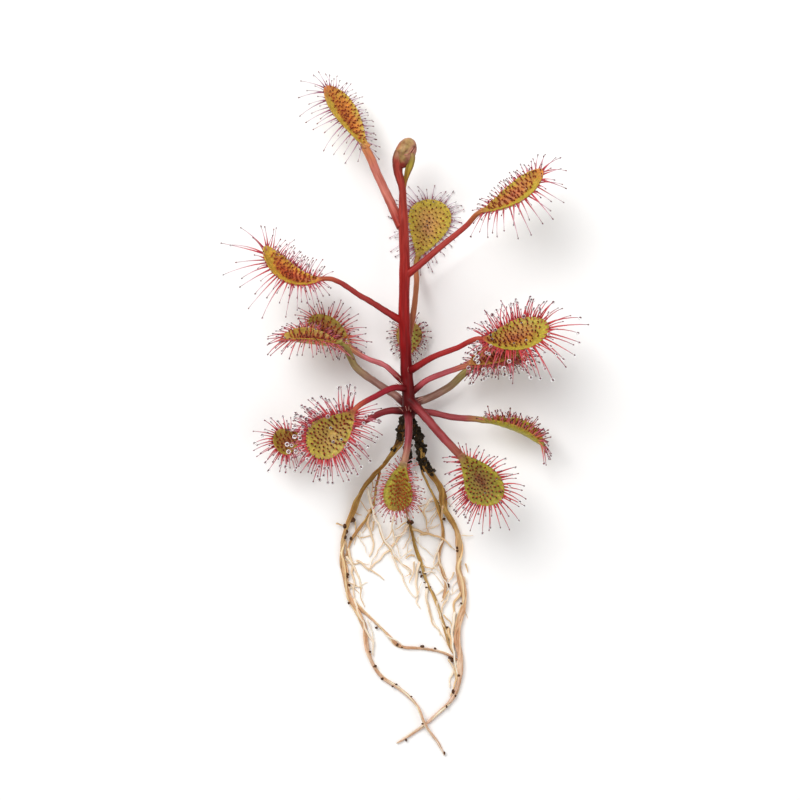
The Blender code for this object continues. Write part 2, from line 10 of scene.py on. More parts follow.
import bpy
import numpy as np
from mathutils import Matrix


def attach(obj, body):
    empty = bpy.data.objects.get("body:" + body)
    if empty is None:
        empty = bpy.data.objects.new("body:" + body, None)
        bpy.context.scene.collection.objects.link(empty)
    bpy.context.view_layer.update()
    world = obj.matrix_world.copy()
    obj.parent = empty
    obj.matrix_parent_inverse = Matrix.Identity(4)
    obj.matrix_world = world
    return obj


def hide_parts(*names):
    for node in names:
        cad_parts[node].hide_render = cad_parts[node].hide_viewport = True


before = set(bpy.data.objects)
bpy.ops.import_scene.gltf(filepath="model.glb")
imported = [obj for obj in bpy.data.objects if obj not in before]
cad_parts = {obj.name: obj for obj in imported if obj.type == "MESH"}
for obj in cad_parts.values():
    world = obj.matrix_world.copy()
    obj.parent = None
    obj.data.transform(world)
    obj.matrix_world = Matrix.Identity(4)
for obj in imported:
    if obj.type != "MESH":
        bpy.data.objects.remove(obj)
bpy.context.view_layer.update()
MM = 0.001

# The surface that the plant lies on, the light and the camera
# A sheet of matt white paper under two large soft lamps, as in a studio shot that has almost no shadow. The
# camera looks straight down from 0.42 m over the stem's middle line.
CAMERA_PLACE = (-0.19, 2.85, 428.0)
STEM_LEVEL = 8.0  # height of the stem's middle line
PIXEL = 0.19  # millimetres that one pixel of the 800 x 800 picture covers at the stem's level
PICTURE_SIDE = 800
SENSOR = 36.0
PAPER_SIDE = 900.0
KEY_LAMP = {"place": (-260, 330, 520), "side": 420, "power": 3.7}
FILL_LAMP = {"place": (380, -160, 460), "side": 520, "power": 1.1}
ROOM_LIGHT = 0.40


def colour(code):
    """A hex code as linear red, green, blue, alpha: ((c + 0.055) / 1.055) ^ 2.4, or c / 12.92 if dark."""
    channels = np.array([int(code[i:i + 2], 16) for i in (1, 3, 5)]) / 255
    light = np.where(channels <= 0.04045, channels / 12.92, ((channels + 0.055) / 1.055) ** 2.4)
    return (*light.tolist(), 1.0)


def add_node(tree, kind, inputs=None, **settings):
    """Adds one node with its settings. An input gets a value, or a link if given another node's output."""
    node = tree.nodes.new(kind)
    for name, value in settings.items():
        setattr(node, name, value)
    for name, value in (inputs or {}).items():
        if isinstance(value, bpy.types.NodeSocket):
            tree.links.new(value, node.inputs[name])
        else:
            node.inputs[name].default_value = value
    return node


def new_material(name):
    """An empty node material with its output, and the tree to add nodes to."""
    material = bpy.data.materials.new(name)
    material.use_nodes = True
    tree = material.node_tree
    tree.nodes.clear()
    return material, tree


def finish_material(tree, shader):
    """Links the shader to the material's output."""
    add_node(tree, "ShaderNodeOutputMaterial", {"Surface": shader.outputs["BSDF"]})


def softbox(name, place, side, power):
    """A square lamp that points at the stem's middle."""
    lamp = bpy.data.lights.new(name, "AREA")
    lamp.size = side * MM
    lamp.energy = power
    lamp_object = bpy.data.objects.new(name, lamp)
    bpy.context.scene.collection.objects.link(lamp_object)
    lamp_object.location = np.array(place) * MM
    lamp_object.rotation_euler = (-lamp_object.location).to_track_quat("-Z", "Y").to_euler()


# Uncoated white paper, rolled matt, with a fine tooth. It shows soft shadows and no shine.
paper_white, tree = new_material("matt_white_paper")
grain = add_node(tree, "ShaderNodeTexNoise", {
    "Vector": add_node(tree, "ShaderNodeTexCoord").outputs["Object"],
    "Scale": 900.0,
    "Detail": 4.0,
})
relief = add_node(tree, "ShaderNodeBump", {
    "Height": grain.outputs["Fac"],
    "Strength": 0.04,
    "Distance": 0.2 * MM,
})
finish_material(tree, add_node(tree, "ShaderNodeBsdfPrincipled", {
    "Base Color": colour("#FBFAF9"),
    "Roughness": 0.9,
    "Specular IOR Level": 0.2,
    "Normal": relief.outputs["Normal"],
}))
half = PAPER_SIDE / 2 * MM
paper_mesh = bpy.data.meshes.new("paper")
corners = [(-half, -half, 0), (half, -half, 0), (half, half, 0), (-half, half, 0)]
paper_mesh.from_pydata(corners, [], [(0, 1, 2, 3)])
paper_mesh.materials.append(paper_white)
paper = bpy.data.objects.new("paper", paper_mesh)
bpy.context.scene.collection.objects.link(paper)

world = bpy.data.worlds.new("room")
world.use_nodes = True
world.node_tree.nodes["Background"].inputs["Color"].default_value = colour("#FFFFFF")
world.node_tree.nodes["Background"].inputs["Strength"].default_value = ROOM_LIGHT
bpy.context.scene.world = world
softbox("key_lamp", **KEY_LAMP)
softbox("fill_lamp", **FILL_LAMP)
bpy.context.scene.view_settings.view_transform = "Standard"

lens = bpy.data.cameras.new("camera")
lens.sensor_width = SENSOR
lens.lens = SENSOR * (CAMERA_PLACE[2] - STEM_LEVEL) / (PICTURE_SIDE * PIXEL)
camera = bpy.data.objects.new("camera", lens)
camera.location = np.array(CAMERA_PLACE) * MM
bpy.context.scene.collection.objects.link(camera)
bpy.context.scene.camera = camera

# Stem
# A young shoot, about 2 mm thick, crimson and waxy, with faint ribs. It is darkest at the crown, where the
# lower leaves crowd: partly its own deeper crimson, partly painted shade. It swells a little where each leaf
# leaves it.
# X, Y, Z and radius of knots up the stem
STEM_ROUTE = (
    (1.5, -0.8, 6.75, 1.15),
    (1.5, 2.9, 7.1, 1.16),
    (1.2, 6.7, 7.4, 1.13),
    (0.8, 14.2, 8, 1.08),
    (0.6, 18.8, 8.3, 1.05),
    (0.7, 29.4, 8.9, 0.98),
    (0.4, 37.1, 9.3, 0.92),
    (0.3, 43, 9.6, 0.62),
)
# Colours up the stem. The dark tones at the crown are partly painted shade.
STEM_TONES_AND_SHADE = ((-1, "#4C060A"), (3, "#5C080C"), (9, "#74090E"), (13, "#880E10"), (18, "#9C1A18"),
              (24, "#A82420"), (31, "#AA322A"), (43, "#AC4434"))
STEM_STATIONS = 220
STEM_AROUND = 40
STEM_RIBS = 7
RIB_DEPTH = 0.014  # share of the radius, as the swelling is
RIB_TWIST = 0.08  # radians in each millimetre
STEM_BUMPS = 0.03
NODE_SWELLING = 0.09
NODE_LENGTH = 1.3
NODE_HEIGHTS = (36.8, 27.0, 18.2, 13.6, 8.6, 5.5, 2.6, 0.8)


def unit(vectors):
    """Each vector over its length."""
    return vectors / np.linalg.norm(vectors, axis=-1, keepdims=True)


def circle(count):
    """Angles at even steps once round: 2 pi n / count."""
    return np.linspace(0, math.tau, count, endpoint=False)


def mixed(first, second, share):
    """first (1 - share) + second share."""
    return np.asarray(first) * (1 - share) + np.asarray(second) * share


def smooth_step(low, high, values):
    """3 t^2 - 2 t^3 of how far the values are from low to high."""
    t = np.clip((values - low) / (high - low), 0, 1)
    return t * t * (3 - 2 * t)


def smooth_path(knots, count):
    """A smooth curve through knots, whose first three channels are a place, read at even steps of length.

    The slope at a knot is the mean of its two chords' slopes, each weighted by the other chord's length. A
    stretch of length h from b to c with slopes m and n is (2t^3 - 3t^2 + 1) b + (3t^2 - 2t^3) c +
    h (t^3 - 2t^2 + t) m + h (t^3 - t^2) n.
    """
    knots = np.asarray(knots, float)
    chord = np.linalg.norm(np.diff(knots[:, :3], axis=0), axis=1)[:, None]
    slopes = np.diff(knots, axis=0) / chord
    inner = (slopes[:-1] * chord[1:] + slopes[1:] * chord[:-1]) / (chord[:-1] + chord[1:])
    slope = np.vstack((1.5 * slopes[:1] - 0.5 * inner[:1], inner, 1.5 * slopes[-1:] - 0.5 * inner[-1:]))
    reach = np.concatenate(([0], np.cumsum(chord)))
    place = np.linspace(0, reach[-1], count)
    index = np.clip(np.searchsorted(reach, place, side="right") - 1, 0, len(chord) - 1)
    h = chord[index]
    t = (place - reach[index])[:, None] / h
    ends = (2 * t ** 3 - 3 * t ** 2 + 1) * knots[index] + (3 * t ** 2 - 2 * t ** 3) * knots[index + 1]
    return ends + h * ((t ** 3 - 2 * t ** 2 + t) * slope[index] + (t ** 3 - t ** 2) * slope[index + 1])


def path_directions(path, upward):
    """Three unit vectors at each point of a path: along it, sideways, and the one nearest to `upward`."""
    along = unit(np.gradient(path, axis=-2))
    side = unit(np.cross(upward, along))
    return along, side, np.cross(along, side)


def tube_rings(path, radius, upward, around):
    """Rings round a path: point + radius (cos turn sideways + sin turn up). A radius may differ by turn."""
    _, side, up = path_directions(path, upward)
    turn = circle(around)
    spoke = side[..., None, :] * np.cos(turn)[:, None] + up[..., None, :] * np.sin(turn)[:, None]
    return path[..., None, :] + spoke * np.broadcast_to(radius, spoke.shape[:-1])[..., None]


def rounded_ends(stations, share):
    """A factor on a tube's radius that rounds both ends: sqrt(1 - (1 - t)^2) over a share of its length."""
    place = np.linspace(0, 1, stations)
    t = np.clip(np.minimum(place, 1 - place) / share, 0, 1)
    return np.sqrt(np.maximum(1 - (1 - t) ** 2, 0.02))


def wavy(points, pitch, seed):
    """Soft noise, mostly within -1 to 1: 1.6 times the mean of six sines of about one pitch."""
    draw = np.random.default_rng(seed)
    waves = unit(draw.normal(size=(6, 3))) * math.tau / pitch * draw.uniform(0.7, 1.4, (6, 1))
    return np.sin(points @ waves.T + draw.uniform(0, math.tau, 6)).mean(axis=-1) * 1.6


def blend_tones(stops, values):
    """The colour for each value, drawn between (value, hex code) stops."""
    places = [place for place, _ in stops]
    channels = np.array([colour(code) for _, code in stops])
    return np.stack([np.interp(values, places, channels[:, i]) for i in range(4)], axis=-1)


def skin(name, rings, tones, material, grain=None):
    """Closed skins from rings of shape (skin, ring, point, xyz), in millimetres.

    Four-sided faces join the rings, and a fan of triangles closes each end at the middle of its ring. tones
    holds a colour for each point, kept as the attribute "tone", and grain a place along the piece, kept as
    "grain".
    """
    skins, stations, around = rings.shape[:3]
    size = stations * around + 2

    def with_poles(values):
        poles = values[:, [0, -1]].mean(axis=2)
        flat = values.reshape(skins, stations * around, -1)
        return np.concatenate((flat, poles), axis=1).reshape(skins * size, -1)

    point = np.arange(around)
    following = (point + 1) % around
    row = np.arange(stations - 1)[:, None] * around
    quads = np.stack((row + point, row + following, row + following + around, row + point + around), axis=-1)
    last = (stations - 1) * around
    base_fan = np.stack((following, point, np.full(around, size - 2)), axis=-1)
    tip_fan = np.stack((last + point, last + following, np.full(around, size - 1)), axis=-1)
    shift = np.arange(skins)[:, None, None] * size
    quads = (quads.reshape(1, -1, 4) + shift).reshape(-1, 4)
    fans = (np.vstack((base_fan, tip_fan))[None] + shift).reshape(-1, 3)
    mesh = bpy.data.meshes.new(name)
    mesh.from_pydata((with_poles(rings) * MM).tolist(), [], quads.tolist() + fans.tolist())
    tones = np.broadcast_to(tones, (skins, stations, around, 4))
    tone = mesh.attributes.new("tone", "FLOAT_COLOR", "POINT")
    tone.data.foreach_set("color", with_poles(tones).astype(np.float32).ravel())
    if grain is not None:
        along = mesh.attributes.new("grain", "FLOAT_VECTOR", "POINT")
        along.data.foreach_set("vector", with_poles(grain).astype(np.float32).ravel())
    mesh.materials.append(material)
    mesh.shade_smooth()
    piece = bpy.data.objects.new(name, mesh)
    bpy.context.scene.collection.objects.link(piece)
    return piece


def lengths_along(path):
    """Length of a path up to each of its points: the running sum of its steps."""
    steps = np.linalg.norm(np.diff(path[:, :3], axis=0), axis=1)
    return np.concatenate(([0], np.cumsum(steps)))


def tube_grain(path, radius, around):
    """Coordinates that follow a tube, in millimetres: (radius cos turn, radius sin turn, 0.12 length)."""
    turn = circle(around)
    parts = (np.cos(turn) * radius, np.sin(turn) * radius, lengths_along(path)[:, None] * 0.12)
    return np.stack(np.broadcast_arrays(*parts), axis=-1)


def plant_skin(name, pitch, shade, relief, roughness):
    """Waxy skin of a stem, stalk or root: its tone, darkened towards a shade and dented in streaks along it.

    The streaks are noise on the grain attribute, one pitch in millimetres wide, over blotches five times as
    wide. Light sinks 1 mm into it at most.
    """
    material, tree = new_material(name)
    grain = add_node(tree, "ShaderNodeAttribute", attribute_name="grain").outputs["Vector"]
    tone = add_node(tree, "ShaderNodeAttribute", attribute_name="tone").outputs["Color"]
    streaks = add_node(tree, "ShaderNodeTexNoise", {"Vector": grain, "Scale": 1 / pitch, "Detail": 3.0})
    blotches = add_node(tree, "ShaderNodeTexNoise", {"Vector": grain, "Scale": 0.2 / pitch, "Detail": 2.0})
    both = add_node(tree, "ShaderNodeMath", operation="ADD")
    tree.links.new(streaks.outputs["Fac"], both.inputs[0])
    tree.links.new(blotches.outputs["Fac"], both.inputs[1])
    strength = add_node(tree, "ShaderNodeMapRange", {
        "Value": both.outputs["Value"],
        "From Min": 0.8,
        "From Max": 1.2,
        "To Min": 0.85,
        "To Max": 0.0,
    })
    darkened = add_node(tree, "ShaderNodeMix", {"Factor": strength.outputs["Result"]},
                        data_type="RGBA", blend_type="MULTIPLY")
    tree.links.new(tone, darkened.inputs[6])
    darkened.inputs[7].default_value = colour(shade)
    bump = add_node(tree, "ShaderNodeBump", {
        "Height": streaks.outputs["Fac"],
        "Strength": 0.5,
        "Distance": relief * MM,
    })
    finish_material(tree, add_node(tree, "ShaderNodeBsdfPrincipled", {
        "Base Color": darkened.outputs[2],
        "Roughness": roughness,
        "IOR": 1.4,
        "Specular IOR Level": 0.22,
        "Subsurface Weight": 0.12,
        "Subsurface Radius": (0.0010, 0.0004, 0.0003),
        "Subsurface Scale": 1.0,
        "Normal": bump.outputs["Normal"],
    }))
    return material


# Living skin under a thin wax, streaked along the stem by its rows of cells. The wax gives a soft shine. The
# rows are drawn 0.4 mm apart, which is coarser than the real ones, so that they show.
waxy_stem = plant_skin("waxy_crimson_stem", pitch=0.4, shade="#C09898", relief=0.05, roughness=0.4)

path = smooth_path(STEM_ROUTE, STEM_STATIONS)
turn = circle(STEM_AROUND)
swelling = np.exp(-((path[:, 1, None] - NODE_HEIGHTS) / NODE_LENGTH) ** 2).max(axis=1)
ribs = RIB_DEPTH * np.cos(STEM_RIBS * turn + path[:, 1, None] * RIB_TWIST)
radius = path[:, 3, None] * (1 + NODE_SWELLING * swelling[:, None] + ribs)
radius = radius * rounded_ends(STEM_STATIONS, share=0.012)[:, None]
rings = tube_rings(path[:, :3], radius, (0, 0, 1), STEM_AROUND)
rings += wavy(rings, pitch=3.0, seed=1)[..., None] * STEM_BUMPS
tones = blend_tones(STEM_TONES_AND_SHADE, rings[None, ..., 1])
stem = skin("crimson_stem", rings[None], tones, waxy_stem, tube_grain(path, radius, STEM_AROUND)[None])
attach(stem, "root")
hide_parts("stem")

# Leaf stalks
# Soft stalks 1 to 2 mm thick. Each is fixed to the stem by a broad foot that runs a little way along it, and
# has a shallow groove on top. They are crimson at the foot, rose along the middle, then olive or orange.
# The table holds what differs from leaf to leaf, for this section and the next three:
# foot: how high on the stem, and at what angle round it; stalk: knots on the way; radii: at foot and neck
# middle: from where to where along the stalk its middle tone holds, if not as usual
# blade: base, middle and tip; facing: the way its face looks; cup: how far its edge is lifted
# blade_tones: heart, middle and edge of the face, then the back
# field: the part of the face with short tentacles; spacing and rim: between tentacles there and at the rim
# glands: their least and largest length; dot: radius of their glands; bare_heart: how many are missing there
# sparse: how much wider the rim's spacing gets towards long_way, where the tentacles reach furthest
# folded: degrees by which the rim's lower tentacles fold in; pale_from: where a tentacle has gone pale
# wet: share of the rim's tentacles that carry a drop; drops: least and largest radius
LEAVES = {
    "01": dict(
        foot=(36.8, 215), stalk=((-1.9, 40.2, 8), (-4.4, 45.6, 7.1)), radii=(0.88, 0.8),
        stalk_tones=("#B84438", "#CE7C6C", "#D48C58"),
        blade=((-7.05, 50.2, 6.4), (-10.9, 56.9, 6), (-15, 62.2, 6.4)), half_width=3.4,
        facing=(0.49, 0.35, 0.8), cup=0.9, tip_narrowing=0.28,
        blade_tones=("#D47A38", "#DC8E3C", "#D0AC3E", "#C2AE38"), tip_tone="#D8644A",
        field=(0.02, -0.2, 0.84, 0.68), spacing=0.6, dot=0.165, glands=(0.28, 0.46), face_gland="#84301A",
        rim=0.92, sparse=0.5, reach=(2.4, 6.2), long_way=(-0.8, -0.6, 0), thickness=0.85, pale_from=0.5,
        root_tone="#A04460", wet=0.35, drops=(0.15, 0.22),
    ),
    "02": dict(
        foot=(27, 20), stalk=((8.1, 32.3, 10.2), (12.4, 35.8, 11)), radii=(0.66, 0.46),
        stalk_tones=("#9C2828", "#B04038", "#C88446"),
        blade=((15.3, 37.5, 11), (22, 40.8, 12), (27.2, 45.6, 12.8)), half_width=3.2,
        facing=(-0.4, 0.55, 0.75), cup=1.2, tip_narrowing=0.2,
        blade_tones=("#CC703C", "#CC883C", "#C6AC3E", "#BEB03A"), tip_tone="#D0683C",
        field=(0, 0.34, 0.86, 0.6), spacing=0.62, dot=0.16, glands=(0.3, 0.5), face_gland="#8A3420",
        rim=0.8, sparse=0.48, reach=(2, 6.6), long_way=(0.7, -0.7, 0), pale_from=0.8, root_tone="#B84050",
        wet=0.4, drops=(0.16, 0.28),
    ),
    "03": dict(
        foot=(18.2, 170), stalk=((-7.2, 22.3, 9.6),), radii=(0.64, 0.43),
        stalk_tones=("#942226", "#A43A36", "#C46844"),
        blade=((-14.6, 25, 10.2), (-21.4, 25.7, 10.8), (-26.4, 31.5, 11.4)), half_width=3,
        facing=(0.35, 0.6, 0.72), cup=1.2, tip_narrowing=0.12,
        blade_tones=("#CC5630", "#D87C38", "#D8AA3E", "#DCB444"),
        field=(0, -0.36, 0.86, 0.54), spacing=0.56, dot=0.16, glands=(0.3, 0.5), face_gland="#8A3420",
        rim=0.9, sparse=0.35, reach=(2.4, 8.6), long_way=(-1, -0.2, 0), pale_from=0.72, root_tone="#B8384C",
        wet=0.35, drops=(0.15, 0.24),
    ),
    "04": dict(
        foot=(13.6, 285), stalk=((2.3, 19, 5.4), (3, 25, 2.6)), radii=(0.65, 0.5),
        stalk_tones=("#B05444", "#C07A54", "#BC9A44"),
        blade=((3.2, 30.4, 0.35), (5.2, 36.6, 0.35), (6.3, 41.6, 0.35)), half_width=4.8, facing=(0, 0, 1),
        cup=0, blade_tones=("#DCA060", "#D6AA50", "#D0B642", "#C4AC3E"),
        spacing=0.78, dot=0.185, face_gland="#60300F", rim=1.15, reach=(2.6, 4.6), long_way=(-0.9, -0.4, 0),
        thickness=0.85, pale_from=0.5, root_tone="#B04A50", wet=0.35, drops=(0.15, 0.22),
    ),
    "05": dict(
        foot=(8.6, 40), stalk=((6.4, 11.1, 11.8), (10.2, 12.5, 13)), radii=(0.65, 0.45),
        stalk_tones=("#8C161C", "#A82C2C", "#C85A44"),
        blade=((15.2, 13.7, 14), (21.2, 14, 14.5), (27.7, 16.6, 14.6)), half_width=4.2,
        facing=(-0.1, 0.6, 0.8), cup=1, blade_tones=("#B8602E", "#BE8A38", "#BCA83A", "#B8A83C"),
        field=(0, 0.08, 0.84, 0.78), dot=0.165, face_gland="#5A1810", rim=0.72, sparse=0.3,
        reach=(3.6, 7.4), long_way=(0.9, -0.4, 0), pale_from=1.5,
    ),
    "06": dict(
        foot=(6.6, 195), stalk=((-2.9, 9.3, 7.4), (-6.8, 10.95, 5.8)), radii=(0.5, 0.5),
        stalk_tones=("#961C20", "#C46C70", "#BC8C54"),
        blade=((-10.4, 12.3, 4), (-13.8, 15.6, 3.5), (-18, 17.2, 3.7)), half_width=2.9,
        facing=(0.3, 0.6, 0.75), cup=1.2, blade_tones=("#B85A44", "#B8783C", "#B0963A", "#C09C40"),
        glands=(0.6, 1.3), reach=(2.6, 4.6), long_way=(1, 0.6, 0), pale_from=1.2, root_tone="#C06C44",
        wet=0.15, drops=(0.16, 0.26),
    ),
    "07": dict(
        foot=(6.2, 262), stalk=((1.1, 8.2, 3.6),), radii=(0.5, 0.42),
        stalk_tones=("#90242C", "#B45C48", "#B49C50"),
        blade=((1.3, 11, 2), (1.5, 14.5, 1.5), (1.8, 18, 1.7)), half_width=2.85, facing=(0, 0.1, 1),
        cup=0.3, blade_tones=("#BCA650", "#BAB454", "#BC9E50", "#BAB258"),
        glands=(0.5, 0.9), reach=(1.5, 2.1), long_way=(0, 1, 0), pale_from=0.9, root_tone="#B46C4C",
    ),
    "08": dict(
        foot=(5.1, 130), stalk=((-1.6, 5.1, 10.6), (-4.7, 3.6, 12.2)), radii=(0.6, 0.5),
        stalk_tones=("#80121A", "#A02634", "#BC5E44"),
        blade=((-8.6, 1.1, 13.3), (-13.1, -3.6, 13.6), (-17.6, -6.1, 14)), half_width=4.4,
        facing=(0.05, 0.12, 1), cup=0.7, blade_tones=("#B89448", "#B49042", "#B8A040", "#BCAC44"),
        bare_heart=5, dot=0.175, face_gland="#5A1810", rim=0.62, reach=(3.4, 6), long_way=(0.9, 0.3, 0),
        thickness=1.1, pale_from=1.3,
    ),
    "09": dict(
        foot=(4.7, 355), stalk=((4.6, 6.4, 7.5), (8.3, 8, 8.2)), radii=(0.55, 0.55),
        stalk_tones=("#90181E", "#C05C64", "#C87C58"),
        blade=((13, 8.9, 8.4), (17.8, 11, 8.8), (23.3, 12.6, 9.2)), half_width=3.2,
        facing=(-0.1, 0.6, 0.75), cup=1, blade_tones=("#B4543A", "#BC7E3E", "#C49A42", "#B49A42"),
        glands=(0.6, 1.2), reach=(2.2, 3.2), long_way=(1, 0, 0), pale_from=1.3, root_tone="#C05C44",
        wet=0.4,
    ),
    # Leaf 10: its stalk's mauve middle and olive end are painted darker, as shade by the crown.
    "10": dict(
        foot=(2.2, 225), stalk=((-0.9, 3.6, 5.2), (-4.2, 5.8, 5.4), (-8.4, 8.9, 7)), radii=(0.7, 0.7),
        stalk_tones=("#84403E", "#A07A70", "#9C9448"), middle=(0.2, 0.45),
        blade=((-12, 12.2, 9.2), (-17, 13.9, 9.9), (-21.8, 13.6, 10)), half_width=3,
        facing=(0.05, 0.9, 0.42), cup=1.2, blade_tones=("#B05840", "#B87040", "#B8963C", "#B8983E"),
        glands=(0.6, 1.3), reach=(2.8, 4.4), long_way=(-0.6, -0.6, 0), pale_from=1.3, root_tone="#B87444",
        wet=0.15, drops=(0.16, 0.26),
    ),
    # Leaf 11: its stalk's mauve middle and olive end are painted darker, as shade by the crown.
    "11": dict(
        foot=(2.4, 320), stalk=((4.4, 2.9, 5), (9, 5.2, 4.3)), radii=(0.75, 0.7),
        stalk_tones=("#884440", "#9C7A6C", "#A0984A"), middle=(0.2, 0.45),
        blade=((14, 7.9, 3.9), (19.1, 9.5, 3.7), (24.3, 10.2, 3.9)), half_width=3, facing=(0, 0.9, 0.4),
        cup=1, blade_tones=("#A86840", "#AE8444", "#A89840", "#A89840"),
        glands=(0.5, 1.1), reach=(2.2, 3.4), long_way=(0, -1, 0), pale_from=1.3, root_tone="#B47C48",
        wet=0.4,
    ),
    "12": dict(
        foot=(2.3, 52), stalk=((4.4, -0.1, 10.1), (7.5, -3.7, 11.6)), radii=(0.85, 0.76),
        stalk_tones=("#7A141A", "#9C4044", "#9C5A48"),
        blade=((10.9, -7.3, 12.2), (15, -12.4, 12.4), (16.7, -16.9, 12)), half_width=4.2,
        facing=(-0.1, 0.1, 1), cup=0.7, blade_tones=("#90603C", "#9C8838", "#A89A34", "#A49A3C"),
        dot=0.165, face_gland="#502414", rim=0.96, reach=(2.4, 5.4), long_way=(0.3, -1, 0), thickness=1.05,
        pale_from=1.6, root_tone="#CC4A44", wet=0.3, drops=(0.2, 0.34),
    ),
    "13": dict(
        foot=(0.8, 180), stalk=((-2.1, 0.8, 6.4), (-8.2, -1.7, 5.6), (-14, -3.3, 4.9)), radii=(0.65, 0.5),
        stalk_tones=("#761218", "#A03C44", "#A86C4C"),
        blade=((-18.5, -4.4, 4.6), (-21.6, -5.2, 4.4), (-24.4, -6.2, 5)), half_width=3,
        facing=(0.2, 0.3, 0.9), cup=0.9, blade_tones=("#A05A34", "#AC7C3C", "#B4983E", "#A89440"),
        glands=(0.7, 1.4), reach=(2.3, 4), long_way=(-1, -0.5, 0), pale_from=1.2,
    ),
    "14": dict(
        foot=(0.8, 338), stalk=((5.5, 0.5, 6.4), (9.7, -0.4, 6.7)), radii=(0.6, 0.6),
        stalk_tones=("#80141C", "#A04A4E", "#A88E4C"),
        blade=((15.6, -1.9, 6.4), (22.3, -2.9, 6.6), (26.4, -6.4, 5.6)), half_width=2.9,
        facing=(0.3, 0.88, 0.34), cup=1, blade_tones=("#B89C34", "#BCA432", "#B8A634", "#B8AA32"),
        spacing=0.85, glands=(1.3, 2.6), rim=0.95, reach=(2.4, 3.8), long_way=(0.8, -0.4, 0), folded=80,
        pale_from=1.4, root_tone="#B8A83C", wet=0.3, drops=(0.2, 0.32),
    ),
    "15": dict(
        foot=(0, 92), stalk=((1.5, -2, 10.6), (1.4, -4.7, 11.3)), radii=(0.75, 0.7),
        stalk_tones=("#7A141C", "#98444C", "#B88C70"),
        blade=((0.7, -8.6, 11.4), (-0.5, -13.8, 11), (-0.3, -17.9, 10.2)), half_width=3.2,
        facing=(0, 0.15, 1), cup=0.6, blade_tones=("#A87C30", "#AA8C34", "#B0A43A", "#A89C3C"),
        tip_tone="#9A542E",
        field=(0.05, 0.14, 0.8, 0.78), spacing=0.6, dot=0.12, glands=(0.7, 1.4), face_gland="#94501F",
        rim=0.6, reach=(1.8, 2.8), long_way=(0, -1, 0), pale_from=0.8, root_tone="#C45A38",
        rim_gland="#A04C3C", wet=0.12, drops=(0.18, 0.28),
    ),
}
STALK_STATIONS = 70
STALK_AROUND = 18
BASE_NARROWING = 0.75
CUP_DEPTH = 1.25
FOOT_DEPTH = 1.4  # a stalk starts this far back along its way, inside the stem
FOOT_SINK = 0.2
FOOT_FLARE = 0.5
FOOT_LENGTH = 1.9
STALK_BUMPS = 0.03
GROOVE = 0.12
GROOVE_ANGLE = 0.45
NECK_NARROWING = (1.5, 0.55)  # length and share by which a stalk thins out inside its blade
NECK_BLEND = 3.5  # length over which a stalk takes on its blade's colour
# Near the crown a stalk takes on the stem's colour there, painted shade included.
CROWN_BLEND = (1.8, 3.8)  # a stalk has the stem's own colour before the first of these lengths
LEVEL_STALKS = ("04", "07", "15")  # they run along Y, so X serves as their upward


def blade_line(leaf, x):
    """A blade's middle line at places x, from -1 at its neck to 1 at its tip, and the directions there.

    The line is the quadratic curve through base, middle and tip. Sideways is the facing crossed with the way
    along, and the face is the way along crossed with sideways.
    """
    base, middle, tip = np.array(leaf["blade"])
    bend = 2 * middle - (base + tip) / 2
    t = (np.asarray(x, float)[..., None] + 1) / 2
    centre = (1 - t) ** 2 * base + 2 * t * (1 - t) * bend + t * t * tip
    along = unit((1 - t) * (bend - base) + t * (tip - bend))
    side = unit(np.cross(leaf["facing"], along))
    return centre, along, side, np.cross(along, side)


def blade_width(leaf, x):
    """Half width before the outline is rounded: half_width (1 - narrowing (1 - t)^2 - tip_narrowing t^4)."""
    t = (x + 1) / 2
    return leaf["half_width"] * (1 - BASE_NARROWING * (1 - t) ** 2 - leaf.get("tip_narrowing", 0) * t ** 4)


def on_blade(leaf, x, y):
    """A blade's middle layer at (x, y) in the unit disc: aside by width y, up by cup (x^2 + depth y^2)."""
    centre, _, side, face = blade_line(leaf, x)
    across = (blade_width(leaf, np.asarray(x, float)) * y)[..., None]
    lift = (leaf["cup"] * (np.asarray(x, float) ** 2 + CUP_DEPTH * np.asarray(y, float) ** 2))[..., None]
    return centre + side * across + face * lift


def leaf_foot(leaf):
    """The stem's middle and radius where a leaf leaves it, and the way out: (cos angle, 0, sin angle)."""
    height, azimuth = leaf["foot"]
    route = np.array(STEM_ROUTE)
    x, z, radius = (np.interp(height, route[:, 1], route[:, i]) for i in (0, 2, 3))
    angle = math.radians(azimuth)
    return np.array((x, height, z)), radius, np.array((math.cos(angle), 0, math.sin(angle)))


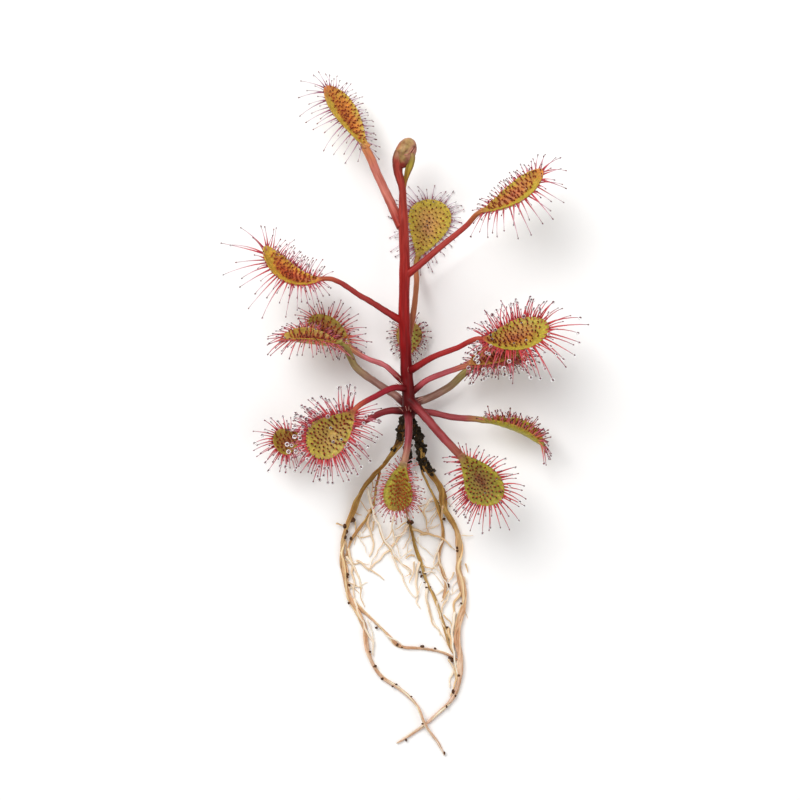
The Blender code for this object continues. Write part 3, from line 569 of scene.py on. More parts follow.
# The stem's skin, thinner and a little downy, so its shine is duller. Its streaks are drawn 0.35 mm apart.
leaf_skin = plant_skin("downy_leaf_stalk", pitch=0.35, shade="#C0A8A0", relief=0.05, roughness=0.44)
for number, leaf in LEAVES.items():
    foot_middle, foot_radius, out = leaf_foot(leaf)
    foot = foot_middle + out * foot_radius
    heading = unit(np.array(leaf["stalk"][0]) - foot)
    end = on_blade(leaf, np.array((-1, -0.8)), np.zeros(2))
    knots = np.array((foot - heading * FOOT_DEPTH - out * FOOT_SINK, foot, *leaf["stalk"], *end))
    path = smooth_path(knots, STALK_STATIONS)
    upward = (1, 0, 0) if number in LEVEL_STALKS else (0, 0, 1)
    length = lengths_along(path)
    share = length / length[-1]
    girth = np.interp(share, (0, 1), leaf["radii"]) * (1 + FOOT_FLARE * np.exp(-length / FOOT_LENGTH))
    girth *= 1 - NECK_NARROWING[1] * smooth_step(length[-1] - NECK_NARROWING[0], length[-1], length)
    off_top = np.angle(np.exp(1j * (circle(STALK_AROUND) - math.pi / 2)))
    groove = 1 - GROOVE * np.exp(-(off_top / GROOVE_ANGLE) ** 2)
    girth = girth[:, None] * groove * rounded_ends(STALK_STATIONS, share=0.02)[:, None]
    rings = tube_rings(path, girth, upward, STALK_AROUND)
    rings += wavy(rings, pitch=2.0, seed=3)[..., None] * STALK_BUMPS
    rings[..., 2] = np.maximum(rings[..., 2], 0.02)
    foot_tone, middle_tone, end_tone = leaf["stalk_tones"]
    seam = 1 - np.linalg.norm(end[1] - end[0]) / length[-1]
    middle_from, middle_to = leaf.get("middle", (0.4, max(0.45, seam - NECK_BLEND / length[-1])))
    stops = (
        (0, foot_tone),
        (middle_from, middle_tone),
        (middle_to, middle_tone),
        (seam, end_tone),
        (1, end_tone),
    )
    # At its foot a stalk has the stem's colour, with the painted shade at the crown.
    clear = smooth_step(*CROWN_BLEND, length)[:, None]
    tones = mixed(blend_tones(STEM_TONES_AND_SHADE, foot_middle[1]), blend_tones(stops, share), clear)[:, None]
    grain = tube_grain(path, girth, STALK_AROUND)[None]
    stalk = skin(f"stalk_{number}", rings[None], tones, leaf_skin, grain)
    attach(stalk, "root")
    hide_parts(f"leaf_{number}_stalk")

# Blades
# Fleshy spoons, 0.7 mm thick, that grow out of the stalk and are cupped towards their sticky face. The face
# is olive to orange and pebbled. A low rib runs down the back, and a crease down the face.
BLADE_HALF = 0.34
BLADE_STATIONS = 50
BLADE_AROUND = 68
RIM_ROLL = 0.16
NECK_SHADE = 0.88  # evens out the finishes of stalk and blade where they meet
RIB = 0.14
PEBBLE_PITCH = 0.9
PEBBLE_HEIGHT = 0.07
CELL = 0.45
BLOTCH = 1.6
# Middle (x, y) and halves, in the unit disc, of the oval part of a face that has short tentacles
FIELD = (0.0, 0.0, 0.82, 0.82)

# Living leaf tissue, moist and slightly see-through, pebbled by its swollen cells. They are drawn 0.45 mm
# wide, which is coarser than the real ones, so that they show.
moist_blade, tree = new_material("moist_leaf_blade")
place = add_node(tree, "ShaderNodeTexCoord").outputs["Object"]
tone = add_node(tree, "ShaderNodeAttribute", attribute_name="tone").outputs["Color"]
cells = add_node(tree, "ShaderNodeTexVoronoi", {"Vector": place, "Scale": 1 / (CELL * MM)})
blotches = add_node(tree, "ShaderNodeTexNoise", {"Vector": place, "Scale": 1 / (BLOTCH * MM), "Detail": 3.0})
# Painted light and shade: each cell is lighter on its domed top and darker towards its sunken edge.
cell_hollow_shade = add_node(tree, "ShaderNodeMapRange", {
    "Value": cells.outputs["Distance"],
    "From Max": 0.7,
    "To Min": 1.18,
    "To Max": 0.76,
})
blotch_tint = add_node(tree, "ShaderNodeMapRange", {
    "Value": blotches.outputs["Fac"],
    "From Min": 0.3,
    "From Max": 0.7,
    "To Min": 0.87,
    "To Max": 1.17,
})
# Real blotches of tone, times the painted shade and light of the cells.
blotch_and_cell_shade = add_node(tree, "ShaderNodeMath", operation="MULTIPLY")
tree.links.new(cell_hollow_shade.outputs["Result"], blotch_and_cell_shade.inputs[0])
tree.links.new(blotch_tint.outputs["Result"], blotch_and_cell_shade.inputs[1])
shaded = add_node(tree, "ShaderNodeVectorMath", {"Scale": blotch_and_cell_shade.outputs["Value"]}, operation="SCALE")
tree.links.new(tone, shaded.inputs[0])
relief = add_node(tree, "ShaderNodeBump", {
    "Height": cells.outputs["Distance"],
    "Strength": 0.6,
    "Distance": 0.12 * MM,
}, invert=True)
finish_material(tree, add_node(tree, "ShaderNodeBsdfPrincipled", {
    "Base Color": shaded.outputs["Vector"],
    "Roughness": 0.42,
    "IOR": 1.4,
    "Specular IOR Level": 0.35,
    "Subsurface Weight": 0.12,
    "Subsurface Radius": (0.0009, 0.0006, 0.0002),
    "Subsurface Scale": 1.0,
    "Normal": relief.outputs["Normal"],
}))

for number, leaf in LEAVES.items():
    x = -np.cos(np.linspace(0, math.pi * 0.985, BLADE_STATIONS))[:, None]
    turn = circle(BLADE_AROUND)
    neck = leaf["radii"][1] * 1.02
    neck_share = 1 - smooth_step(-1, -0.5, x)
    widest = blade_width(leaf, x)
    width = np.cbrt((widest * np.sqrt(1 - x * x)) ** 3 + (neck * neck_share) ** 3)
    shoulder = np.sqrt(1 - (1 - np.clip((x + 1) / 0.05, 0.02, 1)) ** 2)
    y = width * shoulder * np.cos(turn) / widest
    away = np.sqrt(x * x + y * y)
    centre, along, side, face = (part[:, None] for part in blade_line(leaf, x[:, 0]))
    thickness = BLADE_HALF + (neck - BLADE_HALF) * neck_share ** 3
    thickness = thickness * np.sqrt(1 - np.clip(x, 0, 1) ** 12)
    blunt = 0.6 + 0.4 * neck_share
    rise = np.sign(np.sin(turn)) * np.abs(np.sin(turn)) ** blunt * thickness * shoulder
    on_disc = 1 - neck_share ** 2
    crease = np.exp(-(y * widest / 0.4) ** 2) * RIB * (1 - x * x) * on_disc
    lift = leaf["cup"] * (x * x + CUP_DEPTH * y * y) + rise - crease + RIM_ROLL * away ** 8 * on_disc
    rings = centre + side * (y * widest)[..., None] + face * lift[..., None]
    pebbles = wavy(rings, pitch=PEBBLE_PITCH, seed=5) * on_disc
    rings += face * (pebbles * PEBBLE_HEIGHT)[..., None]
    rings[..., 2] = np.maximum(rings[..., 2], 0.03)
    heart, middle_tone, edge, back = leaf["blade_tones"]
    field_x, field_y, field_long, field_wide = leaf.get("field", FIELD)
    from_field = np.hypot((x - field_x) / field_long, (y - field_y) / field_wide) * FIELD[2]
    drift = from_field + 0.12 * wavy(rings, pitch=1.7, seed=6)
    top = blend_tones(((0.1, heart), (0.5, middle_tone), (0.85, edge)), drift)
    top = mixed(top, colour(leaf.get("tip_tone", edge)), 0.7 * smooth_step(0.5, 1, x)[..., None])
    beneath = np.array(colour(back)) * (1 + 0.12 * wavy(rings, pitch=2.5, seed=7))[..., None]
    tones = mixed(top, beneath, smooth_step(0.1, -0.4, np.sin(turn))[None, :, None])
    neck_tone = np.array(colour(leaf["stalk_tones"][2])) * NECK_SHADE
    tones = mixed(tones, neck_tone, (neck_share ** 2)[..., None])
    blade = skin(f"blade_{number}", rings[None], tones, moist_blade)
    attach(blade, "root")
    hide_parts(f"leaf_{number}_blade")

# Tentacles
# Stalked glands, close together on the face and in four rows round the rim. A stalk is a fine hair of living
# tissue that grows out of the blade, red at its root and paler further out. The gland is a dark maroon bead.
DISC_SPACING = 0.7
DISC_CROWDING = 0.58  # a power over 0.5 crowds the feet on a face towards its heart
GOLDEN_ANGLE = 2.39996
DISC_EDGE = 0.92
DISC_LEAN = (88, 72)  # degrees from the blade, at the heart and at the field's edge
DISC_LENGTHS = (0.34, 0.6)
# Of each row round the rim: its place in the unit disc, its lean in degrees, its share of the full length
RIM_ROWS = ((0.87, 52, 0.3), (0.92, 33, 0.52), (0.965, 12, 0.78), (1.0, -8, 1.0))
RIM_SPACING = 0.8
BARE_NECK = 0.28  # radians to each side of the neck
LEVELLING = 0.4  # share of its rise or fall that a way out keeps at the rim
DROOP = (0.0, -0.34, 0.0)
RIM_ROOT_RADIUS = 0.19
DISC_ROOT_RADIUS = 0.25
NECK_RADIUS = 0.05
DOT_RADIUS = 0.155  # of the glands on a face
RIM_GLAND_RADIUS = 0.125
GLAND_HALF = 0.2
GLAND_STEPS = np.array((-0.92, -0.5, 0.1, 0.6, 0.95))
TENTACLE_AROUND = 5
LOWEST = 0.32
HIGHEST = 20.5
ROOT_TONE = "#CE4240"
TENTACLE_TONES = ((0.35, "#CC4E54"), (0.6, "#C47484"), (1.0, "#D0AAB6"))
# Painted light: paler, greyer tentacle tones for the leaves that stand in full light.
FULL_LIGHT_TONES = ((0.35, "#B05A78"), (0.6, "#B888A0"), (1.0, "#CAB4C2"))  # of leaves that stand in full light
DISC_TONES = ((0.25, "#B8542E"), (0.8, "#9C4030"))
FACE_GLAND = "#6C2018"
RIM_GLAND = "#6A2234"


def way_out(leaf, x, y, half_length):
    """The way out of a blade at (x, y): along x half_width + sideways y half_length, as a unit vector."""
    _, along, side, _ = blade_line(leaf, x)
    return unit(along * (x * leaf["half_width"])[:, None] + side * (y * half_length)[:, None])


def tentacle_feet(leaf, draw):
    """Of each tentacle: place (x, y) in the unit disc, lean in degrees, share of the length, 1 at the rim.

    The face has a sunflower pattern: foot n of N is out by (n / N) to the power of the crowding, a golden
    angle on from the last. Each rim row is spaced evenly by length round the blade's outline, wider by
    1 / (1 - sparse) where its tentacles are longest. The blade's half length comes with them.
    """
    base, middle, tip = np.array(leaf["blade"])
    half_length = (np.linalg.norm(middle - base) + np.linalg.norm(tip - middle)) / 2
    half_width = leaf["half_width"]
    field_x, field_y, field_long, field_wide = leaf.get("field", FIELD)
    spacing = leaf.get("spacing", DISC_SPACING)
    count = int(math.pi * half_length * half_width * field_long * field_wide * 0.8 / spacing ** 2)
    order = np.arange(leaf.get("bare_heart", 0), count) + 0.5
    away = (order / count) ** DISC_CROWDING
    count = len(order)
    angle = order * GOLDEN_ANGLE
    lean = mixed(*DISC_LEAN, away ** 2) + draw.normal(0, 3, count)
    place_x = field_x + field_long * away * np.cos(angle)
    place_y = field_y + field_wide * away * np.sin(angle)
    inside = np.hypot(place_x, place_y) < DISC_EDGE
    rows = [tuple(part[inside] for part in (place_x, place_y, lean, away ** 2, np.zeros(count)))]
    sweep = np.linspace(0, math.tau, 400)
    away_from_it = way_out(leaf, np.cos(sweep), np.sin(sweep), half_length)
    close = 1 - leaf.get("sparse", 0) * smooth_step(-0.1, 0.5, away_from_it @ np.array(leaf["long_way"]))
    outline = np.cumsum(np.hypot(half_length * np.sin(sweep), half_width * np.cos(sweep)) * close) * sweep[1]
    for row, (away, lean, share) in enumerate(RIM_ROWS):
        count = int(outline[-1] * 0.92 / leaf.get("rim", RIM_SPACING))
        place = (np.arange(count) + row * 0.4 + draw.uniform(-0.16, 0.16, count)) / count % 1
        angle = np.interp(place * outline[-1], outline, sweep)
        angle = angle[np.abs(angle - math.pi) > BARE_NECK]
        spread = draw.normal(0, 4.5, len(angle))
        away = away + draw.normal(0, 0.01, len(angle))
        share = np.full(len(angle), share)
        rows.append((away * np.cos(angle), away * np.sin(angle), lean + spread, share, np.ones(len(angle))))
    return [np.concatenate(parts) for parts in zip(*rows)], half_length


def grow_tentacles(leaf, seed):
    """Of each tentacle: middle line, radii, place of the gland, if it is at the rim, first way, and share.

    A tentacle of length L that sets out along p and ends along q is at foot + L (p s + (q - p) s^2 / 2). The
    stalk narrows by (1 - s)^2 from root to neck, and the gland is sqrt(1 - u^2) over its own length u.
    """
    draw = np.random.default_rng(seed)
    (x, y, lean, share, at_rim), half_length = tentacle_feet(leaf, draw)
    count = len(x)
    outward = way_out(leaf, x, y, half_length)
    face = blade_line(leaf, x)[3]
    drift = np.radians(draw.normal(0, 4, count))[:, None]
    outward = outward * np.cos(drift) + np.cross(face, outward) * np.sin(drift)
    rim = at_rim[:, None]
    outward[:, 2] *= 1 - (1 - LEVELLING) * at_rim
    outward = unit(outward)
    folding = leaf.get("folded", 0) * smooth_step(0.1, -0.6, outward[:, 1]) * smooth_step(0.8, 0.5, x)
    tilt = np.radians(lean + at_rim * folding)[:, None]
    first = unit(outward * np.cos(tilt) + face * np.sin(tilt))
    last = unit(first + rim * DROOP + draw.normal(0, 0.15, (count, 3)) * (0.3 + 0.7 * rim))
    short, long = leaf["reach"]
    full = short + (long - short) * (1 + outward @ np.array(leaf["long_way"])) / 2
    low, high = leaf.get("glands", DISC_LENGTHS)
    length = np.where(at_rim > 0, share * full, low + (high - low) * share) * draw.uniform(0.8, 1.12, count)
    foot = on_blade(leaf, x, y) + face * (BLADE_HALF * (1 - at_rim))[:, None] - first * 0.1
    stem_steps = np.linspace(0, 0.8, 4)
    stem_place = stem_steps * (1 - GLAND_HALF / length)[:, None]
    place = np.hstack((stem_place, 1 + GLAND_STEPS * (GLAND_HALF / length)[:, None]))[..., None]
    length = length[:, None, None]
    path = foot[:, None] + length * (first[:, None] * place + (last - first)[:, None] * place ** 2 / 2)
    rise = path[..., 2] - foot[:, None, 2]
    room = np.clip((HIGHEST - foot[:, 2]) / np.maximum(rise.max(axis=1), 0.01), 0, 1)
    path[..., 2] = np.maximum(foot[:, None, 2] + rise * room[:, None], LOWEST)
    neck = NECK_RADIUS + 0.03 * smooth_step(0.6, 1.5, leaf["pale_from"])
    root = np.where(at_rim > 0, RIM_ROOT_RADIUS, DISC_ROOT_RADIUS)[:, None]
    stem_radius = neck + (root - neck) * (1 - stem_steps) ** 2
    bead_radius = np.where(at_rim > 0, RIM_GLAND_RADIUS, leaf.get("dot", DOT_RADIUS))[:, None]
    bead_radius = bead_radius * np.sqrt(1 - GLAND_STEPS ** 2)
    radius = np.hstack((stem_radius, bead_radius)) * leaf.get("thickness", 1)
    radius = radius * draw.uniform(0.85, 1.15, (count, 1))
    gland = (path[:, 5] + path[:, 6]) / 2
    return path, radius, gland, at_rim > 0, first, share


# Hair-fine living tissue, see-through and glossy. The tone's alpha is 1 on the glands, whose slime makes
# them shine as wet beads.
glossy_hair, tree = new_material("tentacle_flesh")
tone = add_node(tree, "ShaderNodeAttribute", attribute_name="tone")
wetness = add_node(tree, "ShaderNodeMapRange", {
    "Value": tone.outputs["Alpha"],
    "To Min": 0.45,
    "To Max": 0.16,
})
finish_material(tree, add_node(tree, "ShaderNodeBsdfPrincipled", {
    "Base Color": tone.outputs["Color"],
    "Roughness": wetness.outputs["Result"],
    "IOR": 1.4,
    "Specular IOR Level": 0.4,
    "Subsurface Weight": 0.2,
    "Subsurface Radius": (0.0004, 0.0002, 0.0002),
    "Subsurface Scale": 1.0,
}))

# Dew
# Clear slime that each gland gives off. It hangs as a round drop on the glands, most of all round the rim,
# and slips a little towards the plant's foot, which is down while the plant stands.
DROP_AROUND = 9
DROP_LATITUDES = np.radians((-78, -48, -16, 16, 48, 78))
DROP_RADII = (0.3, 0.47)
DROP_SLIP = 0.1
DISC_DROPS = 0.03
RIM_DROPS = 0.6

# Plant slime is nearly all water, so it bends light as water does. Its surface is as smooth as a liquid's.
# Its white edge ring is a painted reflection of the lamps: towards the rim the slime turns white, less
# clear.
clear_slime, tree = new_material("clear_slime")
edge = add_node(tree, "ShaderNodeLayerWeight", {"Blend": 0.5})
# Painted reflection: the slime is clear in the middle, and white and less clear towards its rim.
painted_rim_clearness = add_node(tree, "ShaderNodeMapRange", {
    "Value": edge.outputs["Facing"],
    "From Min": 0.18,
    "From Max": 0.6,
    "To Min": 0.97,
    "To Max": 0.15,
})
finish_material(tree, add_node(tree, "ShaderNodeBsdfPrincipled", {
    "Base Color": colour("#FFFFFF"),
    "Roughness": 0.03,
    "IOR": 1.34,
    "Transmission Weight": painted_rim_clearness.outputs["Result"],
}))


def balls(centres, radii, latitudes, around):
    """Rings of balls: centre + radius (cos latitude cos turn, cos latitude sin turn, sin latitude)."""
    turn = circle(around)
    flat, high = np.cos(latitudes)[:, None], np.sin(latitudes)[:, None]
    shape = np.stack(np.broadcast_arrays(flat * np.cos(turn), flat * np.sin(turn), high), axis=-1)
    return centres[:, None, None] + shape * radii[:, None, None, None]


for seed, (number, leaf) in enumerate(LEAVES.items()):
    path, radius, gland, at_rim, first, share = grow_tentacles(leaf, 100 + seed)
    count = len(path)
    draw = np.random.default_rng(200 + seed)
    smallest = np.eye(3)[np.argmin(np.abs(first), axis=1)][:, None]
    rings = tube_rings(path, radius[..., None], smallest, TENTACLE_AROUND)
    steps = np.array((0, 0.27, 0.53, 0.8))
    root_tone = leaf.get("root_tone", ROOT_TONE)
    # Leaves in full light get the paler tones, which are painted light.
    fading = FULL_LIGHT_TONES if leaf["pale_from"] <= 0.5 else TENTACLE_TONES
    rim_tones = blend_tones(((0, root_tone), *fading), steps / leaf["pale_from"])
    disc_tones = blend_tones(((-0.2, leaf["blade_tones"][1]), *DISC_TONES), steps)
    hair_tones = np.where(at_rim[:, None, None], rim_tones, disc_tones)
    hair_tones = hair_tones * draw.uniform(0.8, 1.1, (count, 1, 1))
    hair_tones[..., 3] = 0
    rim_gland = colour(leaf.get("rim_gland", RIM_GLAND))
    face_gland = colour(leaf.get("face_gland", FACE_GLAND))
    gland_tones = np.where(at_rim[:, None, None], rim_gland, face_gland) * np.ones((1, len(GLAND_STEPS), 1))
    gland_tones = gland_tones * draw.uniform(0.6, 1.5, (count, 1, 1))
    gland_tones[..., 3] = 1
    tones = np.concatenate((hair_tones, gland_tones), axis=1)[:, :, None]
    tentacles = skin(f"tentacles_{number}", rings, np.clip(tones, 0, 1), glossy_hair)
    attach(tentacles, "root")
    rim_drops = leaf.get("wet", RIM_DROPS) * smooth_step(0.2, 0.7, share)
    wet = draw.random(count) < np.where(at_rim, rim_drops, DISC_DROPS)
    size = draw.uniform(*leaf.get("drops", DROP_RADII), wet.sum()) * np.where(at_rim[wet], 1, 0.7)
    centres = gland[wet] - (0, DROP_SLIP, 0)
    centres[:, 2] = np.maximum(centres[:, 2], size + 0.02)
    rings = balls(centres, size, DROP_LATITUDES, DROP_AROUND)
    dew = skin(f"dew_{number}", rings, (1, 1, 1, 1), clear_slime)
    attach(dew, "root")

# Youngest leaf
# The leaf that is still folded over like a hook at the stem's tip. A red stalk carries an egg-shaped head,
# the blade rolled up on itself, and the blade's olive point hangs down beside the stalk.
YOUNG_STATIONS = 60
YOUNG_AROUND = 24
YOUNG_STALK = (
    (0.35, 41.6, 9.5, 0.66),
    (0.2, 43.35, 9.6, 0.74),
    (-0.25, 44.8, 9.8, 0.82),
    (-0.6, 46.4, 10.1, 0.9),
    (-0.4, 48, 10.3, 1.3),
    (0.1, 49.6, 10.4, 1.3),
    (0.5, 50.6, 10.4, 0.9),
)
FLUSH_LEVEL = 47.84
YOUNG_STALK_TONES = ((41, "#B23C30"), (45, "#AC4036"), (47.2, "#A84438"), (49, "#AC4C3E"))
FLANK_TONE = "#A8765A"
HEAD_MIDDLE = (0.75, 49.45, 10.4)
HEAD_HALVES = (1.95, 3.1, 1.6)
HEAD_TILT = -0.42
HEAD_TONES = ((-1.7, "#B07250"), (-0.8, "#BC9664"), (0.0, "#B89C64"), (0.7, "#BE8A6C"), (1.5, "#BC7C72"))
OUTLINE_TONE = "#A8705C"
POINT = (
    (1.6, 49.9, 10.8, 0.6),
    (1.85, 48.9, 11, 0.82),
    (1.7, 47.4, 10.6, 0.78),
    (1.25, 45.9, 10.1, 0.6),
    (0.85, 44.4, 9.8, 0.4),
    (0.65, 43, 9.7, 0.3),
    (0.55, 42.2, 9.6, 0.2),
)
POINT_FOLD = 1.9  # the angle round the point at which its edges meet
POINT_FOLD_DEPTH = 0.28
POINT_TONES = ((42.5, "#B4543A"), (44.2, "#B8883A"), (45.9, "#BC9A3C"), (47.4, "#BCAA48"), (49.2, "#C4A470"))
SLITS = ((1.0, 49.75, 0.6), (2.2, 49.65, 0.6), (2.5, 50.5, 0.45))  # X, Y and half length
SLIT_WIDTH = 0.17
SLIT_DEPTH = 0.28
# Painted shade: the slits in the head are coloured dark, as shade in their creases.
SLIT_SHADE_TONE = "#6A2420"
FOLDED_RADIUS = 0.13
FOLDED_STATIONS = 10
FOLDED_AROUND = 8
FOLDED_TONES = ((0, "#A4604C"), (0.6, "#BC8470"), (1, "#A45C50"))
# Knots of the tentacles that show between the folds
FOLDED = (
    ((1.35, 49.1, 11.88), (1.85, 49.75, 11.8), (2.35, 50.5, 11.45)),
    ((0.55, 49.05, 11.94), (1.0, 49.05, 11.96), (1.45, 49.2, 11.86)),
    ((1.95, 49.3, 11.68), (2.35, 49.8, 11.5), (2.6, 50.3, 11.25)),
)


def flushed(rings, tones):
    """Tones that turn to the stalk's reds at the foot of the hook, below about y = flush level - 0.6 x."""
    past = rings[..., 1] + 0.6 * rings[..., 0] - FLUSH_LEVEL + 0.25 * wavy(rings, pitch=0.9, seed=14)
    red = smooth_step(0.7, -0.6, past)[..., None]
    return mixed(tones, blend_tones(YOUNG_STALK_TONES, rings[..., 1]), red)


def egg(middle, halves, tilt, stations, around):
    """Rings up +Y: middle + (half_x w sin turn, half_y t, half_z w cos turn), turned about Z by the tilt.

    The width w is sqrt(1 - t^2) (1 + 0.08 t).
    """
    t = np.sin(np.linspace(-1.5, 1.5, stations))[:, None]
    turn = circle(around)
    width = np.sqrt(1 - t * t) * (1 + 0.08 * t)
    x, y, z = halves[0] * width * np.sin(turn), halves[1] * t + 0 * turn, halves[2] * width * np.cos(turn)
    turned = (x * math.cos(tilt) - y * math.sin(tilt), x * math.sin(tilt) + y * math.cos(tilt), z)
    return np.stack(turned, axis=-1) + middle


# The skin of a blade that is still rolled up, firm and waxy, so it has a soft shine. Its wrinkles are drawn
# wider than the real ones, so that they show.
young_skin = plant_skin("young_leaf_skin", pitch=0.45, shade="#A08C80", relief=0.08, roughness=0.4)
path = smooth_path(YOUNG_STALK, YOUNG_STATIONS)
girth = path[:, 3, None] * rounded_ends(YOUNG_STATIONS, share=0.03)[:, None]
rings = tube_rings(path[:, :3], girth, (0, 0, 1), YOUNG_AROUND)
rings += wavy(rings, pitch=1.5, seed=11)[..., None] * 0.04
tones = flushed(rings, colour(FLANK_TONE))
grain = tube_grain(path, girth, YOUNG_AROUND)[None]
young_stalk = skin("young_stalk", rings[None], tones, young_skin, grain)
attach(young_stalk, "root")
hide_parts("young_leaf_stalk")

rings = egg(np.array(HEAD_MIDDLE), HEAD_HALVES, HEAD_TILT, stations=48, around=56)
slit = sum(
    np.exp(-(((rings[..., 0] - x) * 0.8 - (rings[..., 1] - y) * 0.6) / SLIT_WIDTH) ** 2)
    * np.exp(-(((rings[..., 0] - x) * 0.6 + (rings[..., 1] - y) * 0.8) / reach) ** 2)
    for x, y, reach in SLITS
)
inward = unit(np.array(HEAD_MIDDLE) - rings)
rings = rings + inward * (slit * SLIT_DEPTH * (rings[..., 2] > HEAD_MIDDLE[2]))[..., None]
rings = rings + inward * (wavy(rings, pitch=1.2, seed=12) * 0.02)[..., None]
from_middle = rings - np.array(HEAD_MIDDLE)
slant = from_middle[..., 0] * 0.8 - from_middle[..., 1] * 0.4 + 0.4 * wavy(rings, pitch=1.1, seed=13)
near_outline = smooth_step(0.75, 0.2, from_middle[..., 2] / HEAD_HALVES[2])[..., None] * 0.7
tones = mixed(blend_tones(HEAD_TONES, slant), colour(OUTLINE_TONE), near_outline)
# Painted shade in the slits on the head's top.
slit_shade = np.clip(slit, 0, 1)[..., None] * (from_middle[..., 2:] > 0)
tones = mixed(flushed(rings, tones), colour(SLIT_SHADE_TONE), 0.85 * slit_shade)
head = skin("young_head", rings[None], tones, young_skin, rings[None] * 0.4)
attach(head, "root")
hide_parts("young_leaf_blade")

path = smooth_path(POINT, YOUNG_STATIONS - 10)
girth = path[:, 3, None] * rounded_ends(len(path), share=0.06)[:, None]
in_fold = np.exp(-(np.angle(np.exp(1j * (circle(YOUNG_AROUND) - POINT_FOLD))) / 0.3) ** 2)
rings = tube_rings(path[:, :3], girth * (1 - POINT_FOLD_DEPTH * in_fold), (0, 0, 1), YOUNG_AROUND)
# Painted shade: the groove where the point's edges meet is darkened by up to 45 %.
tones = blend_tones(POINT_TONES, rings[None, ..., 1]) * (1 - 0.45 * in_fold)[:, None]
grain = tube_grain(path, girth, YOUNG_AROUND)[None]
point_piece = skin("young_point", rings[None], tones, young_skin, grain)
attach(point_piece, "root")

steps = np.linspace(0, 1, FOLDED_STATIONS)
shape = FOLDED_RADIUS * np.sqrt(np.maximum(1 - (2 * steps - 1) ** 8, 0.02))[:, None]
paths = np.stack([smooth_path(knots, FOLDED_STATIONS) for knots in FOLDED])
rings = tube_rings(paths, shape, (0, 0, 1), FOLDED_AROUND)
tones = blend_tones(FOLDED_TONES, steps)[None, :, None]
folded = skin("young_tentacles", rings, tones * (1, 1, 1, 0), glossy_hair)
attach(folded, "root")

# Fringes at the crown
# Papery strips, called stipules, that grow at the foot of each lower stalk and stand out from the stem. They
# are thin, dry and pale pink.
CROWN_TOP = 10
FRINGE_LENGTHS = (1.0, 1.9)
FRINGES_PER_FOOT = 3
FRINGE_HALF_WIDTH = 0.1
FRINGE_STATIONS = 10
FRINGE_AROUND = 8
FRINGE_TONES = ((0, "#A05050"), (0.5, "#C88880"), (1, "#DCB4A6"))

# Dry membrane, dead and wrinkled, so it is matt and pale.
dry_membrane = plant_skin("dry_stipule", pitch=0.2, shade="#B89080", relief=0.04, roughness=0.6)
draw = np.random.default_rng(31)
fringe_rings = []
for leaf in LEAVES.values():
    middle, radius, out = leaf_foot(leaf)
    if middle[1] > CROWN_TOP:
        continue
    across = np.cross((0, 1, 0), out)
    for _ in range(FRINGES_PER_FOOT):
        spread = draw.uniform(-0.9, 0.9)
        start = middle + out * radius * 0.9 + across * spread * 0.9 + (0, draw.uniform(-0.5, 0.3), 0)
        heading = unit(out * draw.uniform(0.3, 0.8) + across * spread + (0, draw.uniform(0.5, 1.2), 0))
        length = draw.uniform(*FRINGE_LENGTHS)
        end = start + heading * length + out * 0.25 * length
        path = smooth_path((start, start + heading * length * 0.5, end), FRINGE_STATIONS)
        taper = FRINGE_HALF_WIDTH * (1 - np.linspace(0, 1, FRINGE_STATIONS)) ** 0.7 + 0.02
        turn = circle(FRINGE_AROUND)
        flat = np.hypot(np.cos(turn), 0.25 * np.sin(turn))
        fringe_rings.append(tube_rings(path, taper[:, None] * flat, out, FRINGE_AROUND))
rings = np.stack(fringe_rings)
tones = blend_tones(FRINGE_TONES, np.linspace(0, 1, FRINGE_STATIONS))[None, :, None]
fringes = skin("papery_fringes", rings, tones, dry_membrane, rings)
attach(fringes, "root")

